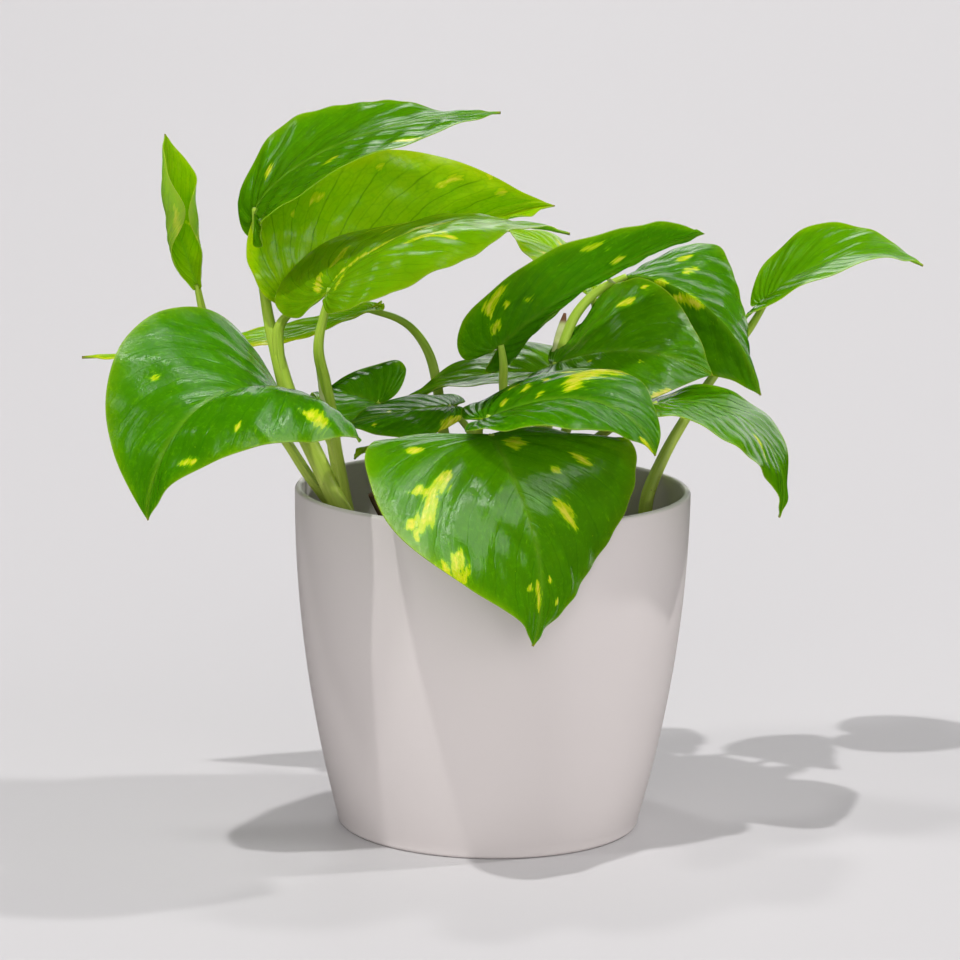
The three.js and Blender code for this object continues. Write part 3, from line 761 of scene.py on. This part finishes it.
def closed_sheet(top, below):
    """Points and triangles of two grids, the lower one turned round, and a strip that joins their
    rims. The last row is one point, the tip, so the rim takes it only once."""
    rows, columns, _ = top.shape
    points = np.concatenate([top.reshape(-1, 3), below.reshape(-1, 3)])
    faces = grid_triangles(rows, columns)
    count = rows * columns
    number = np.arange(count).reshape(rows, columns)
    loop = np.concatenate([number[0, :-1], number[:-1, -1], number[:0:-1, 0]])
    rim = np.stack([np.append(loop, loop[0]), np.append(loop, loop[0]) + count])
    cells = np.stack([rim[0, :-1], rim[1, :-1], rim[1, 1:], rim[0, 1:]], -1)
    strip = [cells[:, [0, 1, 2]], cells[:, [0, 2, 3]]]
    return points, np.concatenate([faces, faces[:, ::-1] + count, *strip])


def leaf_piece(name, leaf, seed, material, node):
    """One blade. Top = surface + height + half thickness - groove - veins, and underside = surface
    + height - half thickness - keel - veins, all square to the surface. The midrib fades to a
    quarter at the tip."""
    grid = blade_grid(leaf)
    t, u, v, s, out = grid
    distance = np.abs(out)
    point, square = blade_surface(leaf, s, out)
    phase = vein_phase(t, u, v)
    vein, band = vein_strength(phase, v)
    height = blade_height(leaf, np.random.default_rng(seed), grid, phase, band)

    rib_fade = 1 - 0.75 * np.clip(s, 0, 1)
    groove = GROOVE * rib_fade * bell(distance, GROOVE_WIDTH) * smooth_step(s, -0.02, 0.05)
    keel = KEEL * rib_fade**1.5 * bell(distance, KEEL_WIDTH * (0.4 + 0.6 * rib_fade))
    half = (THICK_EDGE + (THICK_MIDDLE - THICK_EDGE) * (1 - smooth_step(v, 0.8, 1.0))) / 2
    top = point + square * (height + half - groove - VEIN_DEPTH * vein)[..., None]
    below = point + square * (height - half - keel - VEINS_BELOW * VEIN_DEPTH * vein)[..., None]
    points, faces = closed_sheet(top, below)

    def both(field):
        """A field of the grid for the points of the top and again for those of the underside."""
        return np.tile(np.broadcast_to(field, s.shape).reshape(-1), 2)

    values = {
        "age": np.full(2 * s.size, leaf.age),
        "under": np.repeat([0.0, 1.0], s.size),
        "rib": both(bell(distance, 0.8 + 0.5 * rib_fade)),
        "edge": both(v),
        "gold_and_painted_light": both(mark_field(leaf, s, out)),
        "tip": both(s),
    }
    maps = {
        "blade": np.stack([both(out), both(s * leaf.length)], -1) / 10,
        "veins": np.stack([both(phase), both(np.sign(u) * v * 3 + np.sign(u) * 10)], -1),
    }
    return make_piece("leaf_" + name, points, faces, material, [node], maps, values)


print("a blade is", THICK_MIDDLE, "mm thick, and", THICK_EDGE, "mm at its edge")

# %% [markdown]
# ## Leaf colour
# A young leaf is yellow-green and a grown one deep green. The green is never even: cells hold more or
# less of it. The side veins and a fine net between them are darkened, most on young leaves: this is
# painted shade, the dark lines that light through a thin young blade shows. The midrib is paler, partly
# its own colour and partly a painted highlight along its ridge. A painted picture would fit one leaf
# only. Here the pattern is worked out from the map that follows the veins, so one material fits all the
# leaves, and each leaf's age chooses between young and grown.

# %% Greens and veins of a leaf
YOUNG_GREEN = (0.21, 0.44, 0.0008), (0.38, 0.58, 0.0012)
GROWN_GREEN = (0.006, 0.077, 0.0003), (0.028, 0.156, 0.0006)
LIGHT_CELLS = (0.085, 0.35, 0.001)
LIGHT_PATCHES = (0.11, 0.36, 0.001)
# Painted shade: the vein colour below darkens the veins, most on young leaves.
VEIN_PAINTED_SHADE = (0.012, 0.10, 0.0006)
# The midrib's own paler green, with a painted highlight along its ridge.
RIB_PALE_AND_HIGHLIGHT = (0.26, 0.46, 0.03)

leaf_finish, tree, shader = new_material("pothos_leaf")
blade_map, vein_map = uv_place(tree, "blade"), uv_place(tree, "veins")
age, under, rib, edge, gold_and_painted_light, tip = (
    read_value(tree, name) for name in ("age", "under", "rib", "edge", "gold_and_painted_light", "tip"))

along_cells = add_node(
    tree, "VectorMath", {0: vein_map, 1: (2.8, 1.1, 1.0)}, operation="MULTIPLY").outputs[0]
cells = noise_of(tree, along_cells, 1.0, 4.0, 0.6)
mottle = noise_of(tree, blade_map, 1.1, 4.0, 0.55)
patches = step_of(tree, noise_of(tree, blade_map, 4.5, 3.0, 0.65), 0.50, 0.72)
young = mix_of(tree, mottle, *YOUNG_GREEN)
grown = mix_of(tree, mottle, *GROWN_GREEN)
green = mix_of(tree, age, young, grown)
green = tint_of(tree, green, LIGHT_CELLS, cells, 0.30)
green = tint_of(tree, green, LIGHT_PATCHES, patches, 0.30)

wander = noise_of(tree, vein_map, 1.1, 2.0)
phase = math_of(tree, "MULTIPLY_ADD", wander, 0.45, axis_of(tree, vein_map, "X"))
part_way = math_of(tree, "SUBTRACT", math_of(tree, "FRACT", phase), 0.5)
from_vein = math_of(tree, "ABSOLUTE", part_way)
side_vein = rest_of(tree, step_of(tree, from_vein, 0.0, 0.05))
small_vein = math_of(tree, "MULTIPLY", step_of(tree, from_vein, 0.45, 0.5), 0.5)
inside = rest_of(tree, step_of(tree, edge, 0.80, 1.0))
lines = math_of(tree, "MULTIPLY", math_of(tree, "ADD", side_vein, small_vein), inside)
net = add_node(tree, "TexVoronoi", {"Vector": vein_map, "Scale": 3.2}, feature="DISTANCE_TO_EDGE")
netted = rest_of(tree, step_of(tree, net.outputs["Distance"], 0.0, 0.10))
# Painted shade: darker side veins and a fine net, weighted more on young leaves.
vein_shade_lines = math_of(tree, "MULTIPLY", lines, 0.50)
painted_vein_shade = math_of(tree, "MULTIPLY_ADD", netted, 0.14, vein_shade_lines)
youth = math_of(tree, "MULTIPLY_ADD", rest_of(tree, age), 0.45, 0.45)
green = mix_of(tree, math_of(tree, "MULTIPLY", painted_vein_shade, youth), green, VEIN_PAINTED_SHADE)
# The paler midrib is partly its own colour and partly a painted highlight.
green = tint_of(tree, green, RIB_PALE_AND_HIGHLIGHT, rib, 0.25)
print("greens and veins:", len(tree.nodes), "nodes")

# %% [markdown]
# ## Gold marks
# The marks have ragged edges, because each is a row of cells that grew without green. The stored
# mark is a soft field. Noise is added to it and the sum is cut off sharply, which gives a ragged
# edge at any zoom. The noise is stretched along the veins, the way the cells grew. Round each mark
# is a fringe of half-green cells, and near it lie small flecks.

# %% Gold marks, edge and underside of a leaf
GOLD, CREAM = (0.40, 0.58, 0.002), (0.68, 0.71, 0.05)
FLECK = (0.36, 0.56, 0.004)
FRINGE = (0.16, 0.40, 0.002)
MARGIN = (0.40, 0.56, 0.06)
DRY_TIP = (0.34, 0.22, 0.05)
PALE_UNDER = (0.24, 0.42, 0.05)

ragged = math_of(tree, "MULTIPLY_ADD", noise_of(tree, along_cells, 1.9, 5.0, 0.6), 2.2, -1.1)
field = math_of(tree, "ADD", gold_and_painted_light, ragged)
specks = noise_of(tree, blade_map, 8.0, 3.0, 0.6)
near_mark = math_of(tree, "MULTIPLY_ADD", gold_and_painted_light, 0.12, specks)
# On the long leaf seen on edge, these mark colours are painted light along its edges.
mark_and_painted_light_colour = mix_of(tree, step_of(tree, field, 0.70, 1.05), GOLD, CREAM)
green = tint_of(tree, green, FLECK, step_of(tree, near_mark, 0.70, 0.76), 0.7)
green = tint_of(tree, green, FRINGE, step_of(tree, field, 0.22, 0.50), 0.55)
green = mix_of(tree, step_of(tree, field, 0.50, 0.62), green, mark_and_painted_light_colour)
green = tint_of(tree, green, MARGIN, step_of(tree, edge, 0.975, 1.0), 0.2)
green = tint_of(tree, green, DRY_TIP, step_of(tree, tip, 0.985, 1.0), 0.8)
pale = mix_of(tree, 0.5, green, PALE_UNDER)
print("with marks:", len(tree.nodes), "nodes")

# %% [markdown]
# ## Gloss of a leaf
# A pothos leaf has a skin of wax. It shines evenly, but each highlight breaks up over three reliefs:
# a fine grain, streaks along the cells, and a pleat at each side vein. Light that enters the blade
# comes out again a few millimetres away. Subsurface scattering gives this, and the blade looks thin.

# %% Gloss and fine relief of a leaf
gloss = math_of(tree, "MULTIPLY_ADD", noise_of(tree, blade_map, 2.5, 3.0), 0.14, 0.13)
grain = bump_of(tree, noise_of(tree, object_place(tree), 650.0, 3.0), 0.35, 0.0003)
streaky = noise_of(tree, along_cells, 1.3, 3.0, 0.55)
streaked = bump_of(tree, streaky, 0.4, 0.0005, grain)
puffs = math_of(tree, "MULTIPLY", step_of(tree, from_vein, 0.0, 0.5), inside)
pleats = math_of(tree, "MULTIPLY_ADD", lines, -0.25, puffs)
feed(tree, shader, {
    "Base Color": mix_of(tree, under, green, pale),
    "Roughness": math_of(tree, "MULTIPLY_ADD", under, 0.25, gloss),
    "Specular IOR Level": 0.4,
    "Subsurface Weight": 0.8,
    "Subsurface Radius": (1.0, 1.6, 0.1),
    "Subsurface Scale": 0.0025,
    "Normal": bump_of(tree, pleats, 0.28, 0.0008, streaked),
})
print(leaf_finish.name, "has", len(tree.nodes), "nodes")

# %% [markdown]
# ## Stems and stalks
# A stalk is a round profile carried along a smooth path. On its upper side it has a shallow channel
# with a thin wing at each lip, as all pothos stalks have. The path's points and radii are those of
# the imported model.

# %% Stem numbers
ROOT_DEPTH = 13.0
STEMS = {
    "stem_left": ((-45, -19, 3.4), [
        ("top", [
            (-46, -20, 101, 3.3), (-49, -22, 109, 3.2), (-53, -22, 117, 3.1), (-59, -19, 129, 3),
            (-65, -14, 140, 2.9), (-70, -8, 151, 2.7), (-74, -1, 163, 2.3), (-77, 5, 173, 1.9),
            (-79, 9, 183, 1.7), (-81, 10, 194, 1.5)]),
        ("second", [(-71, -7, 153, 1.8), (-73, -3, 163, 1.8), (-73, 1, 171, 1.6)]),
        ("third", [
            (-46, -20, 102, 2.4), (-49, -19, 112, 2.4), (-51, -21, 123, 2.3), (-53, -25, 135, 2.2),
            (-54, -29, 146, 2), (-56, -33, 158, 1.8), (-58, -37, 170, 1.6)]),
        ("broad_left", [(-52, -23, 129, 1.7), (-55, -26, 138, 1.7), (-59, -30, 144, 1.5)]),
    ]),
    "stem_outer_left": ((-48, -6, 1.9), [
        ("young_rolled", [
            (-49, -7, 102, 1.9), (-54, -9, 110, 1.8), (-63, -9, 122, 1.7), (-70, -6, 132, 1.6),
            (-81, -2, 146, 1.5), (-92, 2, 162, 1.4), (-99, 4, 174, 1.3)]),
    ]),
    "stem_back": ((-12, 27, 2.4), [
        ("long_back", [
            (-12, 28, 104, 2.3), (-15, 31, 118, 2.1), (-18, 36, 132, 1.9), (-20, 40, 145, 1.8),
            (-23, 42, 156, 1.7), (-28, 41, 164, 1.5), (-34, 37, 169, 1.3)]),
        ("inner_back", [(-13, 29, 110, 1.6), (-22, 23, 124, 1.5), (-31, 15, 136, 1.3)]),
    ]),
    "sprout": ((-27, 24, 1.3), [
        ("sprout", [(-28, 25, 102, 1.2), (-30, 28, 112, 1.1), (-33, 33, 120, 0.9)]),
    ]),
    "stem_front": ((2, -14, 2.8), [
        ("front", [(2, -15, 103, 2.7), (2, -21, 113, 2.5), (2, -31, 126, 2.1), (2, -43, 137, 1.7)]),
        ("marbled", [(2, -24, 117, 1.7), (-3, -30, 132, 1.7), (-5, -42, 144, 1.5)]),
        ("inner_left", [(2, -18, 109, 1.6), (-4, -14, 126, 1.5), (-8, -12, 138, 1.3)]),
    ]),
    "stem_middle": ((6, 3, 2.5), [
        ("dark_long", [
            (6, 2, 104, 2.4), (6, 0, 116, 2.2), (5, -3, 130, 2), (4, -7, 145, 1.7),
            (3, -11, 154, 1.5), (3, -14, 161, 1.4)]),
    ]),
    "stem_right": ((18, 11, 3), [
        ("broad_right", [(18, 11, 105, 2.9), (17, 10, 120, 2.6), (16, 9, 134, 2.2), (17, 9, 146, 1.8)]),
        ("back_right", [
            (17, 10, 128, 2), (20, 15, 146, 1.9), (23, 20, 161, 1.7), (28, 26, 173, 1.6),
            (36, 31, 181, 1.4)]),
        ("back_centre", [(17, 10, 124, 1.6), (19, 15, 138, 1.5), (22, 19, 148, 1.3)]),
        ("high_back", [(17, 10, 118, 1.7), (27, 23, 138, 1.6), (34, 37, 158, 1.4), (35, 46, 172, 1.2)]),
        ("drooping_right", [
            (18, 10, 112, 1.8), (26, 0, 126, 1.7), (37, -12, 138, 1.5), (47, -20, 146, 1.3)]),
    ]),
    "stem_outer_right": ((53, 19, 2.4), [
        ("far_right", [
            (53, 20, 103, 2.4), (54, 22, 111, 2.3), (60, 30, 124, 2), (67, 38, 135, 1.8),
            (76, 48, 147, 1.6), (84, 57, 156, 1.5), (91, 66, 164, 1.4)]),
    ]),
}
DRY_STEM = ((-31, -24, 1.2), [
    (-32, -24, 101, 1.2), (-35, -25, 108, 1.1), (-39, -26, 115, 1), (-41, -27, 119, 0.7)])


def root_points(x, y, radius):
    """Three points of a stem in the soil, from its root up to the soil's level."""
    return [(x, y, SOIL_TOP - depth, radius) for depth in (ROOT_DEPTH, ROOT_DEPTH / 2, 0)]


print(len(STEMS), "leafy stems with", sum(len(runs) for _, runs in STEMS.values()), "stalks")

# %% Stalk shape
STALK_SIDES = 28
RING_STEP = 1.0
PATH_STEPS = 24
CHANNEL, CHANNEL_WIDTH = 0.30, 0.45
WING, WING_WIDTH, WING_ANGLE = 0.22, 0.2, 0.62


def smooth_path(points, step):
    """Centripetal Catmull-Rom curve through points. The knots are a square root of the distance
    apart, so that it doesn't loop where points lie close. Between two points it is the cubic with
    their places and slopes. Gives points about one step apart, and how far along each is."""
    points = np.asarray(points, float)
    ends = np.stack([2 * points[0] - points[1], 2 * points[-1] - points[-2]])
    p = np.concatenate([ends[:1], points, ends[1:]])
    gap = np.sqrt(np.maximum(np.linalg.norm(np.diff(p[:, :3], axis=0), axis=1), 1e-6))[:, None]
    before, here, after = gap[:-2], gap[1:-1], gap[2:]
    p0, p1, p2, p3 = p[:-3], p[1:-2], p[2:-1], p[3:]
    leave = here * ((p1 - p0) / before - (p2 - p0) / (before + here) + (p2 - p1) / here)
    arrive = here * ((p2 - p1) / here - (p3 - p1) / (here + after) + (p3 - p2) / after)
    f = np.linspace(0, 1, PATH_STEPS + 1)[:-1][None, :, None]
    shares = (2 * f**3 - 3 * f**2 + 1, f**3 - 2 * f**2 + f, 3 * f**2 - 2 * f**3, f**3 - f**2)
    cubic = sum(row[:, None] * share for row, share in zip((p1, leave, p2, arrive), shares))
    fine = np.concatenate([cubic.reshape(-1, p.shape[1]), points[-1:]])
    length = np.concatenate([[0], np.cumsum(np.linalg.norm(np.diff(fine[:, :3], axis=0), axis=1))])
    even = np.linspace(0, length[-1], max(4, int(length[-1] / step)))
    return np.stack([np.interp(even, length, fine[:, k]) for k in range(fine.shape[1])], -1), even


def tube(path, sideways, profile):
    """Profile radius(angle) times the path's own radius, carried along the path. Angle 0 points to
    the stalk's upper side, which is square to the path and to the sideways direction."""
    centre, radius = path[:, :3], path[:, 3:4]
    ahead = np.gradient(centre, axis=0)
    ahead /= np.linalg.norm(ahead, axis=1, keepdims=True)
    side = sideways - (ahead @ sideways)[:, None] * ahead
    side /= np.linalg.norm(side, axis=1, keepdims=True)
    upper = np.cross(ahead, side)
    angle = 2 * np.pi * np.arange(STALK_SIDES) / STALK_SIDES
    r = radius * profile(angle[None, :], np.arange(len(path))[:, None])
    c, s = np.cos(angle)[None, :, None], np.sin(angle)[None, :, None]
    spread = r[..., None] * (c * upper[:, None] + s * side[:, None])
    rings = centre[:, None] + spread
    ends = np.broadcast_to(centre[[0, -1]][:, None], (2, STALK_SIDES, 3))
    return np.concatenate([ends[:1], rings, ends[1:]]), angle


def channelled(angle, ring):
    """Round, with a shallow channel at angle 0 and a small wing at each lip."""
    around = np.angle(np.exp(1j * angle))
    lips = bell(around - WING_ANGLE, WING_WIDTH) + bell(around + WING_ANGLE, WING_WIDTH)
    return 1 - CHANNEL * bell(around, CHANNEL_WIDTH) + WING * lips + 0 * ring


_, dry_length = smooth_path(DRY_STEM[1], RING_STEP)
print("the dry stalk's path is", round(dry_length[-1], 1), "mm long above its root")

# %% [markdown]
# ## Stalk colour
# A stalk is paler than a leaf and streaked along its length. Near the soil it is yellower and much
# paler, partly its own colour and partly painted light on the low stalks, which lie in the leaves'
# shade. It has small brown flecks there too. The streaks read the tube's own map, so they follow each
# bend.

# %% Stalk material
# The low colour is partly painted light: paler than a real stalk, for stalks that the leaves shade.
LOW_STALK_AND_PAINTED_LIGHT = (0.28, 0.45, 0.010), (0.76, 0.83, 0.20)
HIGH_STALK = (0.25, 0.48, 0.005), (0.60, 0.76, 0.11)
STALK_FLECK = (0.20, 0.11, 0.04)

stalk_finish, tree, shader = new_material("pothos_stalk")
place = object_place(tree)
height = axis_of(tree, place, "Z")
streaks = noise_of(tree, uv_place(tree, "stalk"), 1.0, 4.0, 0.6)
low, high = mix_of(tree, streaks, *LOW_STALK_AND_PAINTED_LIGHT), mix_of(tree, streaks, *HIGH_STALK)
# Painted light: the lower part of each stalk takes the paler low colour.
skin_and_painted_light = mix_of(tree, step_of(tree, height, 0.100, 0.165), low, high)
fleck = step_of(tree, noise_of(tree, place, 700.0, 2.0), 0.66, 0.74)
near_soil = rest_of(tree, step_of(tree, height, 0.105, 0.135))
brown = math_of(tree, "MULTIPLY", fleck, near_soil)
feed(tree, shader, {
    "Base Color": tint_of(tree, skin_and_painted_light, STALK_FLECK, brown, 0.6),
    "Roughness": 0.38,
    "Subsurface Weight": 0.2,
    "Subsurface Radius": (0.8, 1.0, 0.2),
    "Subsurface Scale": 0.0015,
    "Normal": bump_of(tree, streaks, 0.25, 0.0003),
})
print(stalk_finish.name, "has", len(tree.nodes), "nodes")

# %% [markdown]
# ## Leaves and stalks together
# The first stalk of a stem starts at its root in the soil, and the others branch off it. Each ends
# just inside its leaf's base, with its upper side turned the way the leaf points, so that the two
# look grown together. Every blade and stalk replaces the look of its own stem.

# %% Stalks and leaves of each stem
FIRST_SEED = 100
STALK_END, STALK_END_RADIUS = 1.5, 1.0
STREAKS_ROUND, STREAK_LENGTH = 2.2, 14
STEM_OF = {leaf_name: node for node, (_, runs) in STEMS.items() for leaf_name, _ in runs}


def stalk_piece(name, points, heading, node, material=stalk_finish, profile=channelled):
    """A tube along the smooth path through the points. Its upper side faces the compass heading."""
    path, length = smooth_path(points, RING_STEP)
    compass = math.radians(heading)
    sideways = np.array([-math.sin(compass), math.cos(compass), 0.0])
    rings, angle = tube(path, sideways, profile)
    run = np.concatenate([length[:1], length, length[-1:]])[:, None] + 0 * angle
    wrap = np.broadcast_to(np.cos(angle) * STREAKS_ROUND, run.shape)
    triangles = grid_triangles(len(rings), STALK_SIDES, wrap=True)[:, ::-1]
    maps = {"stalk": np.stack([wrap.ravel(), run.ravel() / STREAK_LENGTH], -1)}
    return make_piece(name, rings.reshape(-1, 3), triangles, material, [node], maps)


grown_pieces = []
for number, (name, leaf) in enumerate(LEAVES.items()):
    grown_pieces.append(leaf_piece(name, leaf, FIRST_SEED + number, leaf_finish, STEM_OF[name]))
for node, (foot, runs) in STEMS.items():
    for number, (name, path_points) in enumerate(runs):
        leaf = LEAVES[name]
        end = leaf.base + midrib_direction(leaf, np.array(0.0)) * STALK_END
        points = (root_points(*foot) if number == 0 else []) + path_points + [(*end, STALK_END_RADIUS)]
        grown_pieces.append(stalk_piece("stalk_" + name, points, leaf.heading, node))
print("leaves and stalks:", sum(len(piece.data.polygons) for piece in grown_pieces), "faces")

# %% [markdown]
# ## Leaf sheaths
# A new pothos leaf comes out of a thin sheath that stays on the stalk as a pale dried strip. Each
# is a flattened tube that lies against its stalk and ends in a point. The third piece is the pale
# stub of a sheath that was cut off.

# %% Sheaths
PALE_SHEATH = (0.42, 0.52, 0.10), (0.80, 0.82, 0.46)
BROWN_SHEATH = (0.17, 0.07, 0.03)

sheath_finish, tree, shader = new_material("leaf_sheath")
place = object_place(tree)
height = axis_of(tree, place, "Z")
pale = mix_of(tree, noise_of(tree, place, 420.0, 4.0, 0.6), *PALE_SHEATH)
band_start, band_end = step_of(tree, height, 0.1695, 0.1715), step_of(tree, height, 0.178, 0.180)
brown = math_of(tree, "SUBTRACT", band_start, band_end)
feed(tree, shader, {"Base Color": mix_of(tree, brown, pale, BROWN_SHEATH), "Roughness": 0.6})
SHEATHS = [
    ("sheath_left", "stem_left", [
        (-54.5, -29, 140, 1.6), (-55.6, -30, 146.2, 1.7), (-56.7, -32, 154.6, 1.5),
        (-58.6, -35.5, 165.3, 0.8)]),
    ("sheath_right", "stem_right", [
        (20.4, 16.5, 152, 2.0), (21.4, 19, 158, 2.3), (22.4, 22, 164.6, 2.1), (23.2, 24, 169.5, 1.4),
        (24.0, 26, 173.4, 0.5)]),
    ("cut_stub", "stem_right", [
        (37.2, 29.5, 186.2, 0.5), (39.0, 30.5, 184.8, 0.8), (41.0, 31.6, 183.0, 0.8)]),
]


def flattened(angle, ring):
    """An ellipse three times as wide as it is thick."""
    return 1 / np.sqrt((3 * np.cos(angle)) ** 2 + np.sin(angle) ** 2) + 0 * ring


for name, node, path_points in SHEATHS:
    stalk_piece(name, path_points, -90.0, node, sheath_finish, flattened)
print("sheaths and stub:", len(SHEATHS), "pieces")

# %% [markdown]
# ## The dry stalk
# At the front left a thin dried stalk leans against the rim. It is wrinkled and dark brown.

# %% Dry stalk
DRY_BROWN = (0.02, 0.009, 0.005), (0.13, 0.07, 0.035)

dry_finish, tree, shader = new_material("dry_stalk")
fibres = noise_of(tree, object_place(tree), 500.0, 5.0, 0.7)
feed(tree, shader, {
    "Base Color": mix_of(tree, fibres, *DRY_BROWN),
    "Roughness": 0.8,
    "Normal": bump_of(tree, fibres, 0.7, 0.0004),
})


def wrinkled(angle, ring):
    """Round with lengthwise wrinkles that wander along the stalk."""
    return 1 + 0.14 * np.sin(5 * angle + 0.25 * ring) + 0.08 * np.sin(3 * angle - 0.6 * ring)


foot, path_points = DRY_STEM
dry_stalk = stalk_piece(
    "dry_stalk", root_points(*foot) + path_points, 0.0, "dry_stem", dry_finish, wrinkled)
print("dry stalk:", len(dry_stalk.data.polygons), "faces")

# %% [markdown]
# ## Floor and light
# The floor is one wide pale sheet, so wide that its far edge lies above the picture. The main light
# is high at the front left and a second one comes from the right: these two throw the shadows on
# the pot and the floor. Wide soft lights from the front fill them, and a pale sky fills the rest. A
# strong light leaves a white spot on wax, so the lights that light don't shine, and the sheen comes
# from weaker ones that only shine. The floor and the sky are left out of reflections, because they
# would whiten every leaf.

# %% Floor
FLOOR_HALF = 12.0
FLOOR_GREY = (0.585, 0.57, 0.577)
floor_mesh = bpy.data.meshes.new("floor")
corners = FLOOR_HALF * np.array([[-1, -1, 0], [1, -1, 0], [1, 1, 0], [-1, 1, 0]])
floor_mesh.from_pydata(corners, [], [[0, 1, 2, 3]])
floor = bpy.data.objects.new("floor", floor_mesh)
bpy.context.scene.collection.objects.link(floor)
floor_finish, tree, shader = new_material("pale_floor")
feed(tree, shader, {"Base Color": (*FLOOR_GREY, 1.0), "Roughness": 0.6, "Specular IOR Level": 0.15})
floor_mesh.materials.append(floor_finish)
floor.visible_glossy = False
print("floor:", 2 * FLOOR_HALF, "m wide")

# %% Lights
def sun(name, compass, height, softness, strength, lights=True, shines=True):
    """A far light at a compass direction (0 behind the plant, 90 to the right) and an angle above
    the floor. Softness is the angle that the light fills, which blurs its shadow. A light that
    lights but doesn't shine leaves no highlight, and one that only shines throws no shadow."""
    a, e = math.radians(compass), math.radians(height)
    away = Vector((math.sin(a) * math.cos(e), math.cos(a) * math.cos(e), math.sin(e)))
    light = bpy.data.lights.new(name, "SUN")
    light.energy, light.angle = strength, math.radians(softness)
    lamp = bpy.data.objects.new(name, light)
    lamp.rotation_euler = away.to_track_quat("Z", "Y").to_euler()
    lamp.location = away * 2
    lamp.visible_diffuse = lights
    lamp.visible_transmission = lights
    lamp.visible_glossy = shines
    bpy.context.scene.collection.objects.link(lamp)


LIGHTING = [
    ("front_left", -143, 68, 1.5, 1.45), ("right", 82, 44, 3, 1.0), ("low_left", -120, 48, 4, 0.38),
    ("high_back", -30, 70, 6, 0.4), ("front", 178, 16, 50, 0.88), ("front_right", 132, 32, 36, 0.30),
]
SHINING = [
    ("window_back", 52, 61, 24, 0.17), ("window_right", 106, 44, 40, 0.78),
    ("lamp_high", 99, 67, 8, 0.26), ("lamp_right", 66, 62, 6, 0.09),
    ("window_front", -172, 47, 16, 0.14), ("lamp_behind", -5, 28, 12, 0.10),
    ("lamp_left", -61, 43, 10, 0.09), ("pale_wall", 14, 14, 40, 0.36),
]
for numbers in LIGHTING:
    sun(*numbers, shines=False)
for numbers in SHINING:
    sun(*numbers, lights=False)
print(len(LIGHTING), "lights that light and", len(SHINING), "that shine")

# %% Sky
SKY_COLOUR = (0.80, 0.785, 0.80)
SKY_STRENGTH = 0.36

sky = bpy.data.worlds.new("pale_room")
bpy.context.scene.world = sky
sky.use_nodes = True
backdrop = sky.node_tree.nodes["Background"]
feed(sky.node_tree, backdrop, {"Color": (*SKY_COLOUR, 1.0), "Strength": SKY_STRENGTH})
sky.cycles_visibility.glossy = False
bpy.context.scene.view_settings.view_transform = "Standard"
print("sky strength", SKY_STRENGTH)
